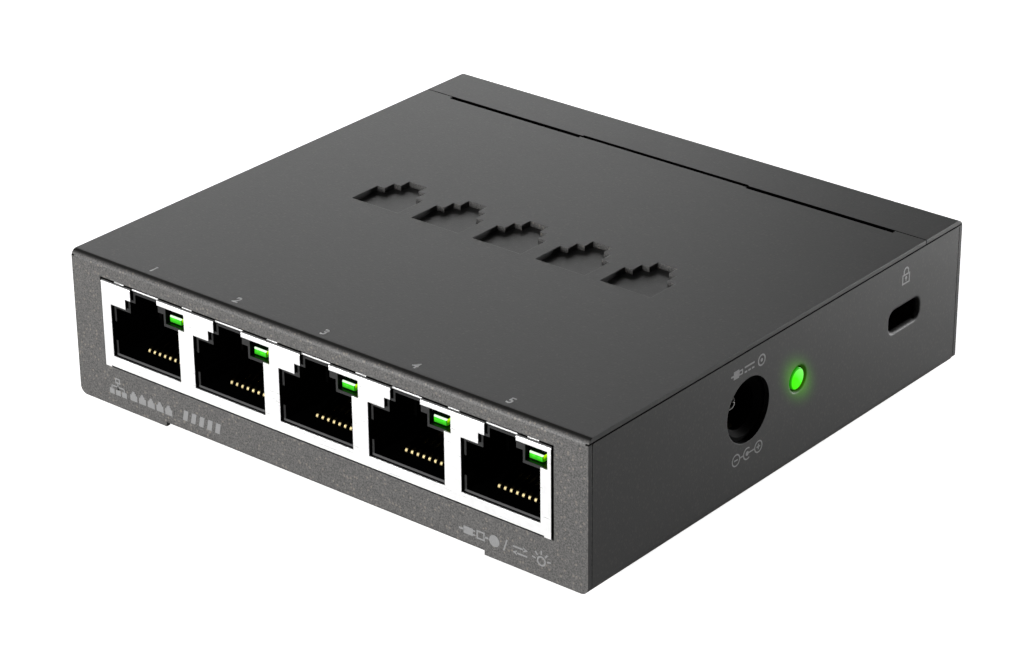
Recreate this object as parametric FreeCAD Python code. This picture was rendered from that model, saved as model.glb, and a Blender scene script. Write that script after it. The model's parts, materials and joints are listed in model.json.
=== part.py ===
"""Five-port desktop network switch in a folded steel case.

Millimetres. +Z is up and z = 0 is the desk. The origin is the centre of the case's footprint.
The sockets face -Y, and the power inlet, power light and lock slot are on the +X side.
"""

import FreeCAD
import Part

import math
import os

V = FreeCAD.Vector

# Case
CASE_W = 92.0
CASE_D = 86.0
CASE_H = 22.4
FOOT_H = 1.5
SHEET = 0.7
SEAM = 0.12
BEND_R = 1.2
FRONT_BEND_R = 1.0
X_OUT = CASE_W / 2
Y_OUT = CASE_D / 2
Z_LOW = FOOT_H
Z_TOP = FOOT_H + CASE_H
X_IN = X_OUT - SHEET
Y_IN = Y_OUT - SHEET
FLOOR_TOP = Z_LOW + SHEET
ROOF_UNDER = Z_TOP - SHEET

# Roof seam: the cover's tongues slide under the tray's rear lip
SEAM_Y = 33.5
SEAM_JOG = 0.3
SEAM_SET_BACK = 0.35
TONGUE_IN_X = 15.4
TONGUE_OUT_X = 40.9
TONGUE_SET_BACK = 0.75
TONGUE_LENGTH = 5.5

# Front panel
WINDOW_HALF = 40.47
WINDOW_LOW = Z_LOW + 6.13
WINDOW_HIGH = Z_LOW + 19.85
FLANGE_HALF = 28.9
FLANGE_RAISE = 0.37
FLANGE_DEPTH = 8.6
COVER_SCREW_X = 19.0
COVER_SCREW_Y = -37.6

# Pressed mark on the roof: a row of five socket silhouettes
MARK_DEPTH = 0.8
MARK_Y = -0.5
MARK_HEIGHT = 9.6
MARK_PITCH = 11.35
MARK_LEVELS = [(4.4, 5.6), (3.0, 7.7), (1.7, MARK_HEIGHT)]

# Side plate features
DC_Y = -8.75
DC_Z = Z_LOW + 12.81
DC_HOLE_R = 4.76
LIGHT_Y = 2.7
LIGHT_Z = Z_LOW + 12.85
LIGHT_HOLE_R = 1.75
LIGHT_HOLE_ROUND = 0.5
LOCK_Y = 28.7
LOCK_Z = Z_LOW + 12.53
LOCK_LENGTH = 7.3
LOCK_HEIGHT = 3.1
LOCK_CORNER = 1.1
LOCK_ROUND = 0.6
VENT_PITCH = 4.6
VENT_WIDTH = 1.6

# Sockets
PORTS = 5
PORT_PITCH = 15.94
SHIELD_HALF = 40.17
SHIELD_LOW = Z_LOW + 6.49
SHIELD_HIGH = Z_LOW + 19.53
SHIELD_SHEET = 0.25
SHIELD_FRONT = -Y_OUT - 0.2
SHIELD_BACK = -22.5
CAVITY_LOW = 9.95
CAVITY_LEVELS = [(6.14, 17.02), (3.27, 18.82), (2.19, 20.22)]
CAVITY_DEPTH = 12.6
CUT_LOW = 9.63
CUT_LEVELS = [(6.57, 17.68), (3.64, 19.22), (2.59, SHIELD_HIGH + 1)]
TAB_SET_BACK = 0.45
RIM_LOW = 9.59
RIM_LEVELS = [(6.49, 17.62), (3.62, 19.17), (2.54, 20.57)]
LIGHT_WINDOW = (2.59, 7.72, 17.66, 20.23)
LIGHT_POCKET = (3.61, 7.8, 17.47, 20.3)
PORT_LIGHT = (3.7, 5.98, 17.64, 18.55)
PORT_LIGHT_FRONT = -41.9
PORT_LIGHT_BACK = -38.3
FINGER_X = [7.95, 23.86, 37.0]
FINGER_HALF = 0.94
FINGER_NOSE = SHIELD_FRONT + 0.42
FINGER_ROOT = -38.0
HOUSING_HALF = SHIELD_HALF - SHIELD_SHEET - 0.05
HOUSING_FACE = SHIELD_FRONT + 0.8
HOUSING_BACK = -23.9
HOUSING_TOP = SHIELD_HIGH - SHIELD_SHEET - 0.05
RIM_FRONT = SHIELD_FRONT + 0.6

# Spring wires
WIRE = 0.36
WIRES = 8
WIRE_PITCH = 1.016
WIRE_BEND_Y = SHIELD_FRONT + 4.4
WIRE_BEND_Z = 9.65
WIRE_BEND_R = 0.46
WIRE_LOW = WIRE_BEND_Z - WIRE_BEND_R
WIRE_ANGLE = 22.0
WIRE_LENGTH = 8.2

# Board
BOARD_TOP = 7.4
BOARD_T = 1.6
BOARD_HALF = 43.5
BOARD_FRONT = -41.8
BOARD_BACK = 19.0
BOARD_SCREWS = [(40.2, -18.5), (-40.2, -18.5), (40.2, 15.6), (-40.2, 15.6)]
SCREW_R = 1.25
BOARD_HOLE_R = 1.4
CLINCH_R = 2.1

# Parts on the board, as centres and sizes
CHIP = (-9.0, 9.6)
CHIP_SIZE = 14.0
MAGNETICS_X = [-36.8 + 13.2 * i for i in range(PORTS)]
MAGNETICS_Y = -6.9
MAGNETICS_SIZE = (11.0, 13.6)
REGULATORS = [(15.0, 14.0), (15.0, 6.6)]
MEMORY = (-26.5, 14.2)
SMALL_SIZE = (4.9, 3.9)
CRYSTAL = (-26.5, 6.4)
CAPACITORS = [(31.4, 8.6), (23.6, 8.6)]
INDUCTORS = [(31.4, 15.4), (23.6, 15.4)]
FUSE = (26.4, -8.4)
DIODE = (26.4, -2.2)

# Power inlet
DC_FACE = X_IN - 0.1
DC_BACK = DC_FACE - 14.2
DC_HALF = 4.9
DC_TOP = 19.2
DC_BORE_R = 3.3
DC_PIN_R = 1.0
SPRING_T = 0.3
SPRING_ROOT_R = 0.35
SPRING_PIVOT_X = DC_BACK + 2.2
SPRING_PIVOT_Z = BOARD_TOP + 2.4

# Power light
LAMP_R = 1.6
LAMP_FLANGE_R = 2.0
LAMP_BACK = X_IN - 4.4
LAMP_RECESS = 0.12
LAMP_ROUND = 0.18

# Feet and wall slots
FOOT_R = 4.7
FOOT_X = 38.5
FOOT_Y = 35.0
KEYHOLE_X = 20.0
KEYHOLE_Y = 25.5
KEYHOLE_R = 3.5
KEYHOLE_SLOT = 3.6
KEYHOLE_TRAVEL = 6.5


def box(x0, x1, y0, y1, z0, z1):
    return Part.makeBox(x1 - x0, y1 - y0, z1 - z0, V(x0, y0, z0))


def rod(radius, start, end):
    return Part.makeCylinder(radius, (end - start).Length, start, end - start)


def prism(corners, along):
    """Solid from a closed flat outline of vectors, swept by a vector."""
    return Part.Face(Part.makePolygon(corners + corners[:1])).extrude(along)


def prism_xz(points, y0, y1):
    return prism([V(x, y0, z) for x, z in points], V(0, y1 - y0, 0))


def prism_yz(points, x0, x1):
    return prism([V(x0, y, z) for y, z in points], V(x1 - x0, 0, 0))


def prism_xy(points, z0, z1):
    return prism([V(x, y, z0) for x, y in points], V(0, 0, z1 - z0))


def join(shapes):
    whole = shapes[0]
    if len(shapes) > 1:
        whole = whole.fuse(shapes[1:])
    return whole.removeSplitter()


def edges_where(shape, wanted, along=None):
    """Edges for whose end points wanted(point) holds, along the axis X, Y or Z if one is named."""
    picked = [e for e in shape.Edges if all(wanted(v.Point) for v in e.Vertexes)]
    if along:
        across = [axis + "Length" for axis in "XYZ" if axis != along]
        picked = [e for e in picked if all(near(getattr(e.BoundBox, side), 0) for side in across)]
    return picked


def near(a, b):
    return abs(a - b) < 1e-4


def round_edges(shape, radius, wanted, along=None):
    return shape.makeFillet(radius, edges_where(shape, wanted, along))


def bevel_edges(shape, size, wanted):
    return shape.makeChamfer(size, edges_where(shape, wanted))


def anywhere(p):
    return True


def stairs(levels, low, centre=0.0, grow=0.0):
    """Outline of a socket: stacked levels of (half width, top), symmetrical about its centre."""
    right = []
    height = low - grow
    for half, top in levels:
        right += [(half + grow, height), (half + grow, top + grow)]
        height = top + grow
    left = [(-x, z) for x, z in reversed(right)]
    return [(centre + x, z) for x, z in right + left]


def port_centres():
    return [(i - (PORTS - 1) / 2) * PORT_PITCH for i in range(PORTS)]


def stadium(centre_a, centre_b, radius, along):
    """Slot-shaped solid between two parallel round ends, swept by along."""
    run = centre_b - centre_a
    side = run.cross(along).normalize() * radius
    middle = prism([centre_a + side, centre_b + side, centre_b - side, centre_a - side], along)
    ends = [rod(radius, c, c + along) for c in (centre_a, centre_b)]
    return join([middle] + ends)


# Case


def vent_cuts():
    """Upright slots: a row in the left side plate and a shorter row in the rear wall."""
    cuts = []
    half = 4.2
    middle = (FLOOR_TOP + ROOF_UNDER) / 2 + 1.0
    for i in range(-5, 6):
        low = V(-X_OUT - 1, i * VENT_PITCH - 2, middle - half)
        cuts.append(stadium(low, low + V(0, 0, 2 * half), VENT_WIDTH / 2, V(3, 0, 0)))
    for i in range(-6, 7):
        low = V(i * VENT_PITCH, Y_IN - 1, middle - half / 2)
        cuts.append(stadium(low, low + V(0, 0, half), VENT_WIDTH / 2, V(0, 3, 0)))
    return cuts


def keyhole(x):
    """Entry hole for a screw head, with a slot towards the rear to hang on."""
    low = V(x, KEYHOLE_Y, Z_LOW - 1)
    up = V(0, 0, SHEET + 2)
    slot = stadium(low, low + V(0, KEYHOLE_TRAVEL, 0), KEYHOLE_SLOT / 2, up)
    return [rod(KEYHOLE_R, low, low + up), slot]


def lock_cut():
    across = box(X_IN - 1, X_OUT + 1, LOCK_Y - LOCK_LENGTH / 2, LOCK_Y + LOCK_LENGTH / 2,
                 LOCK_Z - LOCK_HEIGHT / 2, LOCK_Z + LOCK_HEIGHT / 2)
    return round_edges(across, LOCK_CORNER, anywhere, "X")


def floor_and_sides():
    """The tray's floor and side plates, bent up from one sheet."""
    y_front = -Y_IN + SEAM
    outer = box(-X_OUT, X_OUT, y_front, Y_IN - SEAM, Z_LOW, ROOF_UNDER - SEAM)
    outer = round_edges(outer, BEND_R, lambda p: near(p.z, Z_LOW), "Y")
    outer = round_edges(outer, FRONT_BEND_R - SHEET + SEAM, lambda p: near(p.y, y_front) and p.z > Z_LOW + 3, "X")
    inner = box(-X_IN, X_IN, -Y_OUT, Y_OUT, FLOOR_TOP, Z_TOP)
    inner = round_edges(inner, BEND_R - SHEET, lambda p: near(p.z, FLOOR_TOP), "Y")
    return outer.cut(inner)


def rear_and_lip():
    """The rear wall and the strip that it folds over the roof."""
    outer = box(-X_OUT, X_OUT, SEAM_Y + SEAM, Y_OUT, Z_LOW, Z_TOP)
    outer = round_edges(outer, BEND_R, lambda p: near(p.y, Y_OUT), "X")
    inner = box(-X_OUT - 1, X_OUT + 1, SEAM_Y - 1, Y_IN, FLOOR_TOP, ROOF_UNDER)
    inner = round_edges(inner, BEND_R - SHEET, lambda p: near(p.y, Y_IN), "X")
    wall = outer.cut(inner)
    relief = 1.5
    for side in (-1, 1):
        x0, x1 = sorted((side * (X_OUT - relief), side * (X_OUT + 1)))
        wall = wall.cut(box(x0, x1, SEAM_Y - 1, Y_OUT + 1, Z_LOW - 1, FLOOR_TOP + SEAM))
    jog = box(-TONGUE_IN_X + SEAM, TONGUE_IN_X - SEAM, SEAM_Y - 1, SEAM_Y + SEAM + SEAM_JOG,
              ROOF_UNDER - 1, Z_TOP + 1)
    return wall.cut(jog)


def screw_tab(x):
    """Tab joggled up from the floor's front edge, tapped for a cover screw."""
    tab_low = FLOOR_TOP + FLANGE_RAISE + SEAM
    floor_edge = -Y_OUT + FLANGE_DEPTH + 0.3
    half = 4.6
    plate = box(x - half, x + half, COVER_SCREW_Y - 3.4, floor_edge + SHEET, tab_low, tab_low + SHEET)
    riser = box(x - half, x + half, floor_edge, floor_edge + SHEET, Z_LOW, tab_low + SHEET)
    hole = rod(SCREW_R + 0.02, V(x, COVER_SCREW_Y, Z_LOW), V(x, COVER_SCREW_Y, tab_low + 2))
    return join([plate, riser]).cut(hole)


def base_tray():
    notch = box(-FLANGE_HALF - 0.3, FLANGE_HALF + 0.3, -Y_OUT, -Y_OUT + FLANGE_DEPTH + 0.3,
                Z_LOW - 1, FLOOR_TOP + 1)
    tray = join([floor_and_sides().cut(notch), rear_and_lip()]
                + [screw_tab(x) for x in (-COVER_SCREW_X, COVER_SCREW_X)])
    cuts = vent_cuts() + keyhole(-KEYHOLE_X) + keyhole(KEYHOLE_X)
    cuts.append(rod(DC_HOLE_R, V(X_IN - 1, DC_Y, DC_Z), V(X_OUT + 1, DC_Y, DC_Z)))
    cuts.append(rod(LIGHT_HOLE_R, V(X_IN - 1, LIGHT_Y, LIGHT_Z), V(X_OUT + 1, LIGHT_Y, LIGHT_Z)))
    cuts.append(lock_cut())
    for x, y in BOARD_SCREWS:
        cuts.append(rod(CLINCH_R, V(x, y, Z_LOW - 1), V(x, y, FLOOR_TOP + 1)))
    tray = tray.cut(cuts)

    def on_slot_edge(p):
        return near(p.x, X_OUT) and abs(p.y - LOCK_Y) < LOCK_LENGTH / 2 + 0.1

    tray = round_edges(tray, LOCK_ROUND, on_slot_edge)
    ring = [e for e in tray.Edges if near(e.BoundBox.XMin, X_OUT) and near(e.BoundBox.XMax, X_OUT)
            and near(e.BoundBox.YMax, LIGHT_Y + LIGHT_HOLE_R)]
    return tray.makeFillet(LIGHT_HOLE_ROUND, ring)


def mark_shape(grow, z0, z1):
    """The socket silhouettes of the roof mark, lying flat and grown outwards by grow."""
    low = MARK_Y - MARK_HEIGHT / 2
    levels = [(half, low + top) for half, top in MARK_LEVELS]
    centres = [(i - (PORTS - 1) / 2) * MARK_PITCH for i in range(PORTS)]
    return [prism_xy(stairs(levels, low, x, grow), z0, z1) for x in centres]


def cover_fold():
    """Front panel and roof, bent from one sheet."""
    outer = box(-X_OUT, X_OUT, -Y_OUT, SEAM_Y, Z_LOW, Z_TOP)
    outer = round_edges(outer, FRONT_BEND_R, lambda p: near(p.y, -Y_OUT) and near(p.z, Z_TOP), "X")
    inner = box(-X_OUT - 1, X_OUT + 1, -Y_IN, Y_OUT, Z_LOW - 1, ROOF_UNDER)
    inner = round_edges(inner, FRONT_BEND_R - SHEET, lambda p: near(p.y, -Y_IN) and near(p.z, ROOF_UNDER), "X")
    fold = outer.cut(inner)
    return round_edges(fold, BEND_R, lambda p: near(p.z, Z_LOW) and near(abs(p.x), X_OUT), "Y")


def rear_tongue(side):
    """Joggled tongue that tucks under the tray's lip."""
    x0, x1 = sorted((side * TONGUE_IN_X, side * TONGUE_OUT_X))
    under = ROOF_UNDER - SEAM
    edge = SEAM_Y - TONGUE_SET_BACK
    plate = box(x0, x1, edge - SHEET, edge + TONGUE_LENGTH, under - SHEET, under)
    riser = box(x0, x1, edge - SHEET, edge, under - SHEET, Z_TOP)
    plate = round_edges(plate, 1.5, lambda p: near(p.y, edge + TONGUE_LENGTH), "Z")
    return join([plate, riser])


def front_flange():
    """Return flange under the front panel, with a screw slot open to the rear at each screw."""
    z0 = Z_LOW + FLANGE_RAISE
    back = -Y_OUT + FLANGE_DEPTH
    flange = box(-FLANGE_HALF, FLANGE_HALF, -Y_OUT, back, z0, z0 + SHEET)
    flange = round_edges(flange, SHEET * 0.9, lambda p: near(p.y, -Y_OUT) and near(p.z, z0))
    for x in (-COVER_SCREW_X, COVER_SCREW_X):
        start = V(x, COVER_SCREW_Y, z0 - 1)
        flange = flange.cut(stadium(start, V(x, back + 3, z0 - 1), SCREW_R + 0.3, V(0, 0, SHEET + 2)))
    return flange


def top_cover():
    fold = cover_fold()
    window = box(-WINDOW_HALF, WINDOW_HALF, -Y_OUT - 1, -Y_IN + 1, WINDOW_LOW, WINDOW_HIGH)
    under_panel = box(-FLANGE_HALF, FLANGE_HALF, -Y_OUT - 1, -Y_IN + 1, Z_LOW - 1,
                      Z_LOW + FLANGE_RAISE + SHEET * 0.9)
    edge = SEAM_Y - TONGUE_SET_BACK
    set_backs = [box(*sorted((side * TONGUE_IN_X, side * TONGUE_OUT_X)), edge, SEAM_Y + 1,
                     ROOF_UNDER - 1, Z_TOP + 1) for side in (-1, 1)]
    set_backs.append(box(-TONGUE_IN_X, TONGUE_IN_X, SEAM_Y - SEAM_SET_BACK, SEAM_Y + 1,
                         ROOF_UNDER - 1, Z_TOP + 1))
    cover = fold.cut([window, under_panel] + set_backs)
    cover = join([cover, front_flange(), rear_tongue(-1), rear_tongue(1)])
    pressed = mark_shape(0.6, Z_TOP - MARK_DEPTH - SHEET * 0.7, ROOF_UNDER + 0.1)
    return join([cover] + pressed).cut(mark_shape(0.0, Z_TOP - MARK_DEPTH, Z_TOP + 1))


# Feet, fasteners and standoffs

def rubber_feet():
    feet = []
    for x in (-FOOT_X, FOOT_X):
        for y in (-FOOT_Y, FOOT_Y):
            foot = rod(FOOT_R, V(x, y, 0), V(x, y, FOOT_H))
            feet.append(foot.makeFillet(0.45, [foot.Edges[i] for i in range(len(foot.Edges))
                                               if near(foot.Edges[i].BoundBox.ZMax, 0)]))
    return feet


def cross_recess(x, y, z, depth, span):
    """Cross-shaped driver recess, cut downwards from z."""
    arms = [box(x - span, x + span, y - 0.3, y + 0.3, z - depth, z + 0.01),
            box(x - 0.3, x + 0.3, y - span, y + span, z - depth, z + 0.01)]
    return join(arms)


def pan_screw(x, y, seat, length, up):
    """Pan-head screw seated at z = seat. up is +1 with the head above the seat, -1 below it."""
    head_h = 1.0
    head_r = 2.4
    top = seat + up * head_h
    head = rod(head_r, V(x, y, min(seat, top)), V(x, y, max(seat, top)))
    rim = [e for e in head.Edges if near(e.BoundBox.ZMin, top) and near(e.BoundBox.ZMax, top)]
    head = head.makeFillet(0.55, rim)
    shank = rod(SCREW_R, V(x, y, seat), V(x, y, seat - up * length))
    depth = 0.7
    recess = cross_recess(x, y, top if up > 0 else top + depth, depth + 0.01, 1.3)
    return join([head, shank]).cut(recess)


def cover_screws():
    seat = Z_LOW + FLANGE_RAISE
    return [pan_screw(x, COVER_SCREW_Y, seat, 3.6, -1) for x in (-COVER_SCREW_X, COVER_SCREW_X)]


def pcb_screws():
    return [pan_screw(x, y, BOARD_TOP, 4.6, 1) for x, y in BOARD_SCREWS]


def hexagon(x, y, across, z0, z1):
    radius = across / math.sqrt(3)
    corners = [(x + radius * math.cos(math.radians(60 * i)), y + radius * math.sin(math.radians(60 * i)))
               for i in range(6)]
    return prism_xy(corners, z0, z1)


def pcb_standoffs():
    """Tapped hexagonal standoffs clinched into the floor."""
    made = []
    for x, y in BOARD_SCREWS:
        body = hexagon(x, y, 5.0, FLOOR_TOP, BOARD_TOP - BOARD_T)
        stub = rod(CLINCH_R, V(x, y, Z_LOW), V(x, y, FLOOR_TOP))
        bore = rod(SCREW_R + 0.02, V(x, y, Z_LOW - 1), V(x, y, BOARD_TOP))
        made.append(join([body, stub]).cut(bore))
    return made


def rating_label():
    half_x, half_y = 27.0, 15.0
    label = box(-half_x, half_x, -half_y - 3, half_y - 3, Z_LOW - 0.1, Z_LOW)
    return [round_edges(label, 2.0, anywhere, "Z")]


# Sockets


def port_cut(x):
    """Opening in the shield's face: the socket's outline with the light's window beside it.

    The latch's step runs out through the top of the face and a little way into the shield's roof.
    """
    socket = prism_xz(stairs(CUT_LEVELS, CUT_LOW, x), SHIELD_FRONT - 1, SHIELD_FRONT + TAB_SET_BACK)
    left, right, low, high = LIGHT_WINDOW
    window = box(x + left - 0.1, x + right, SHIELD_FRONT - 1, SHIELD_FRONT + TAB_SET_BACK, low, high)
    return join([socket, window])


def ground_finger(x):
    """Spring finger lanced from the shield's roof, its curled nose bearing on the panel's window."""
    crest = WINDOW_HIGH - 0.04
    thick = 0.22
    roof_under = SHIELD_HIGH - SHIELD_SHEET
    rise = FINGER_NOSE + 1.3
    curl = FINGER_NOSE + 0.23
    profile = [(FINGER_ROOT + 0.5, roof_under), (FINGER_ROOT + 0.5, SHIELD_HIGH), (FINGER_ROOT - 0.2, SHIELD_HIGH),
               (rise, crest), (curl, crest), (FINGER_NOSE, crest - thick), (FINGER_NOSE, crest - 0.45),
               (curl, crest - 0.45), (curl, crest - thick), (rise, crest - thick),
               (FINGER_ROOT - 0.2, roof_under + 0.03)]
    return prism_yz(profile, x - FINGER_HALF, x + FINGER_HALF)


def finger_slot(x):
    half = FINGER_HALF + 0.15
    return box(x - half, x + half, SHIELD_FRONT + SHIELD_SHEET, FINGER_ROOT, SHIELD_HIGH - 1, SHIELD_HIGH + 1)


def jack_shield():
    outer = box(-SHIELD_HALF, SHIELD_HALF, SHIELD_FRONT, SHIELD_BACK, SHIELD_LOW, SHIELD_HIGH)
    outer = round_edges(outer, 0.3, lambda p: near(p.y, SHIELD_FRONT) and p.z > SHIELD_LOW + 1)
    inner = box(-SHIELD_HALF + SHIELD_SHEET, SHIELD_HALF - SHIELD_SHEET, SHIELD_FRONT + SHIELD_SHEET,
                SHIELD_BACK - SHIELD_SHEET, SHIELD_LOW - 1, SHIELD_HIGH - SHIELD_SHEET)
    finger_places = [side * x for x in FINGER_X for side in (-1, 1)]
    shell = outer.cut([inner] + [port_cut(x) for x in port_centres()] + [finger_slot(x) for x in finger_places])
    extras = [ground_finger(x) for x in finger_places]
    for side in (-1, 1):
        x0, x1 = sorted((side * SHIELD_HALF, side * (SHIELD_HALF - SHIELD_SHEET)))
        for y in (-38.0, -25.0):
            extras.append(box(x0, x1, y, y + 1.4, BOARD_TOP, SHIELD_LOW + 0.5))
        foot0, foot1 = sorted((side * SHIELD_HALF, side * (SHIELD_HALF - 1.15)))
        extras.append(box(foot0, foot1, SHIELD_FRONT, SHIELD_FRONT + SHIELD_SHEET,
                          SHIELD_LOW - 0.21, SHIELD_LOW + 0.5))
    return [join([shell] + extras)]


def light_frame(x):
    """Raised plastic frame between the socket and its light, and below the light."""
    pocket_left, pocket_low = LIGHT_POCKET[0], LIGHT_POCKET[2]
    beside = box(x + CAVITY_LEVELS[2][0], x + pocket_left, RIM_FRONT, HOUSING_FACE, CAVITY_LEVELS[0][1],
                 RIM_LEVELS[2][1])
    below = box(x + CAVITY_LEVELS[1][0], x + LIGHT_WINDOW[1] - 0.42, RIM_FRONT, HOUSING_FACE,
                CAVITY_LEVELS[0][1], pocket_low)
    return join([beside, below])


def housing_cuts(x):
    """Everything hollowed out of the housing for one socket and its light."""
    cavity_back = SHIELD_FRONT + CAVITY_DEPTH
    half_row = WIRES * WIRE_PITCH / 2 + 0.1
    left, right, low, high = LIGHT_POCKET
    lamp_left, lamp_right, lamp_low, lamp_high = PORT_LIGHT
    cuts = [
        prism_xz(stairs(CAVITY_LEVELS, CAVITY_LOW, x), RIM_FRONT - 1, cavity_back),
        box(x - half_row, x + half_row, WIRE_BEND_Y - 0.9, cavity_back, WIRE_LOW - 0.3, CAVITY_LOW + 0.1),
        box(x - half_row, x + half_row, WIRE_BEND_Y, HOUSING_BACK + 1, WIRE_LOW - 0.14, WIRE_LOW + WIRE + 0.14),
        box(x + left, x + right, RIM_FRONT - 1, PORT_LIGHT_BACK + 0.3, low, high),
        box(x + lamp_left, x + lamp_right, PORT_LIGHT_BACK, HOUSING_BACK + 1, lamp_low + 0.1, lamp_high - 0.1),
    ]
    for side in (-1, 1):
        wall = x + side * CAVITY_LEVELS[0][0]
        cuts.append(box(wall - 0.45, wall + 0.45, RIM_FRONT - 1, -34.0, 11.97, 14.92))
    return cuts


def jack_housing():
    body = box(-HOUSING_HALF, HOUSING_HALF, HOUSING_FACE, HOUSING_BACK, BOARD_TOP, HOUSING_TOP)
    raised = []
    behind_panel = box(-X_OUT, X_OUT, SHIELD_FRONT, -Y_IN + SEAM, BOARD_TOP - 1, WINDOW_LOW + SEAM)
    cuts = [behind_panel]
    for x in port_centres():
        raised.append(prism_xz(stairs(RIM_LEVELS, RIM_LOW, x), RIM_FRONT, HOUSING_FACE))
        raised.append(light_frame(x))
        cuts += housing_cuts(x)
    return [join([body] + raised).cut(cuts)]


def spring_wire(x):
    """One wire's free half: the bend at the socket's mouth and the arm sloping up to the rear."""
    slope = math.radians(WIRE_ANGLE)
    inner_r = WIRE_BEND_R - WIRE

    def on_bend(radius, angle):
        return V(x - WIRE / 2, WIRE_BEND_Y + radius * math.cos(angle), WIRE_BEND_Z + radius * math.sin(angle))

    top = math.pi / 2 + slope
    low = 1.5 * math.pi
    middle = (top + low) / 2
    run = V(0, math.cos(slope), math.sin(slope)) * WIRE_LENGTH
    outer_top, inner_top = on_bend(WIRE_BEND_R, top), on_bend(inner_r, top)
    outer_low, inner_low = on_bend(WIRE_BEND_R, low), on_bend(inner_r, low)
    edges = [
        Part.LineSegment(outer_top + run, outer_top).toShape(),
        Part.Arc(outer_top, on_bend(WIRE_BEND_R, middle), outer_low).toShape(),
        Part.LineSegment(outer_low, inner_low).toShape(),
        Part.Arc(inner_low, on_bend(inner_r, middle), inner_top).toShape(),
        Part.LineSegment(inner_top, inner_top + run).toShape(),
        Part.LineSegment(inner_top + run, outer_top + run).toShape(),
    ]
    return Part.Face(Part.Wire(edges)).extrude(V(WIRE, 0, 0))


def wire_offsets():
    return [(i - (WIRES - 1) / 2) * WIRE_PITCH for i in range(WIRES)]


def spring_contacts(port_x):
    return [spring_wire(port_x + dx) for dx in wire_offsets()]


def port_contact_leads():
    """Fixed half of each wire: back through the housing's floor and down to the board."""
    start = WIRE_BEND_Y + 0.05
    drop = HOUSING_BACK + 0.2
    top = WIRE_LOW + WIRE
    profile = [(start, WIRE_LOW), (start, top), (drop + WIRE, top), (drop + WIRE, BOARD_TOP + WIRE),
               (drop + 1.1, BOARD_TOP + WIRE), (drop + 1.1, BOARD_TOP), (drop, BOARD_TOP), (drop, WIRE_LOW)]
    leads = []
    for port_x in port_centres():
        for dx in wire_offsets():
            leads.append(prism_yz(profile, port_x + dx - WIRE / 2, port_x + dx + WIRE / 2))
    return leads


def port_lights():
    """Green light in each pocket: a rectangular body with rounded front edges."""
    left, right, low, high = PORT_LIGHT
    lights = []
    for x in port_centres():
        body = box(x + left, x + right, PORT_LIGHT_FRONT, PORT_LIGHT_BACK, low, high)
        body = bevel_edges(body, 0.2, lambda p: near(p.y, PORT_LIGHT_FRONT) and near(p.z, high))
        lights.append(round_edges(body, 0.15, lambda p: near(p.y, PORT_LIGHT_FRONT), "Z"))
    return lights


def port_light_leads():
    left, right, low, high = PORT_LIGHT
    leads = []
    drop = HOUSING_BACK + 0.35
    middle = (low + high) / 2
    profile = [(PORT_LIGHT_BACK, middle - 0.2), (PORT_LIGHT_BACK, middle + 0.2), (drop + 0.4, middle + 0.2),
               (drop + 0.4, BOARD_TOP), (drop, BOARD_TOP), (drop, middle - 0.2)]
    for port_x in port_centres():
        for dx in (-0.6, 0.6):
            x = port_x + (left + right) / 2 + dx
            leads.append(prism_yz(profile, x - 0.2, x + 0.2))
    return leads


# Power inlet and power light

def dc_jack_body():
    body = box(DC_BACK, DC_FACE, DC_Y - DC_HALF, DC_Y + DC_HALF, BOARD_TOP, DC_TOP)
    body = bevel_edges(body, 0.8, lambda p: near(p.z, DC_TOP) and not near(p.x, DC_FACE))
    bore = rod(DC_BORE_R, V(DC_BACK + 3.6, DC_Y, DC_Z), V(DC_FACE + 1, DC_Y, DC_Z))
    mouth = Part.makeCone(DC_BORE_R, DC_BORE_R + 0.8, 0.8, V(DC_FACE - 0.8, DC_Y, DC_Z), V(1, 0, 0))
    pin_hole = rod(DC_PIN_R, V(DC_BACK - 1, DC_Y, DC_Z), V(DC_FACE, DC_Y, DC_Z))
    spring_slot = box(DC_BACK + 1.2, DC_FACE - 1.2, DC_Y - 1.3, DC_Y + 1.3, BOARD_TOP + 1.2, DC_Z)
    return [body.cut([bore, mouth, pin_hole, spring_slot])]


def dc_jack_pin():
    """Tubular centre pin with a slit tip, and its tail behind the body."""
    tip = DC_FACE - 1.95
    pin = rod(DC_PIN_R, V(DC_BACK - 0.6, DC_Y, DC_Z), V(tip, DC_Y, DC_Z))
    pin = pin.makeChamfer(0.2, [e for e in pin.Edges if near(e.BoundBox.XMin, tip)])
    bore = rod(DC_PIN_R * 0.5, V(tip - 6, DC_Y, DC_Z), V(tip + 1, DC_Y, DC_Z))
    slit = box(tip - 5, tip + 1, DC_Y - 2, DC_Y + 2, DC_Z - 0.15, DC_Z + 0.15)
    tail = box(DC_BACK - 0.6, DC_BACK - 0.1, DC_Y - 0.9, DC_Y + 0.9, BOARD_TOP, DC_Z)
    return [join([pin.cut([bore, slit]), tail])]


def dc_jack_spring():
    """Leaf contact for the plug's sleeve. It turns about its rolled root and bulges up into the bore."""
    root = SPRING_PIVOT_Z
    crest = DC_Z - DC_BORE_R + 0.5
    x_tip = DC_FACE - 2.4
    x_crest = x_tip - 3.2
    profile = [(SPRING_PIVOT_X, root), (x_crest, crest - SPRING_T), (x_tip, root + 0.5),
               (x_tip, root + 0.5 + SPRING_T), (x_crest, crest), (SPRING_PIVOT_X, root + SPRING_T)]
    leaf = prism([V(x, DC_Y - 1.0, z) for x, z in profile], V(0, 2.0, 0))
    roll = rod(SPRING_ROOT_R, V(SPRING_PIVOT_X, DC_Y - 1.0, root), V(SPRING_PIVOT_X, DC_Y + 1.0, root))
    return [join([leaf, roll])]


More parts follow.
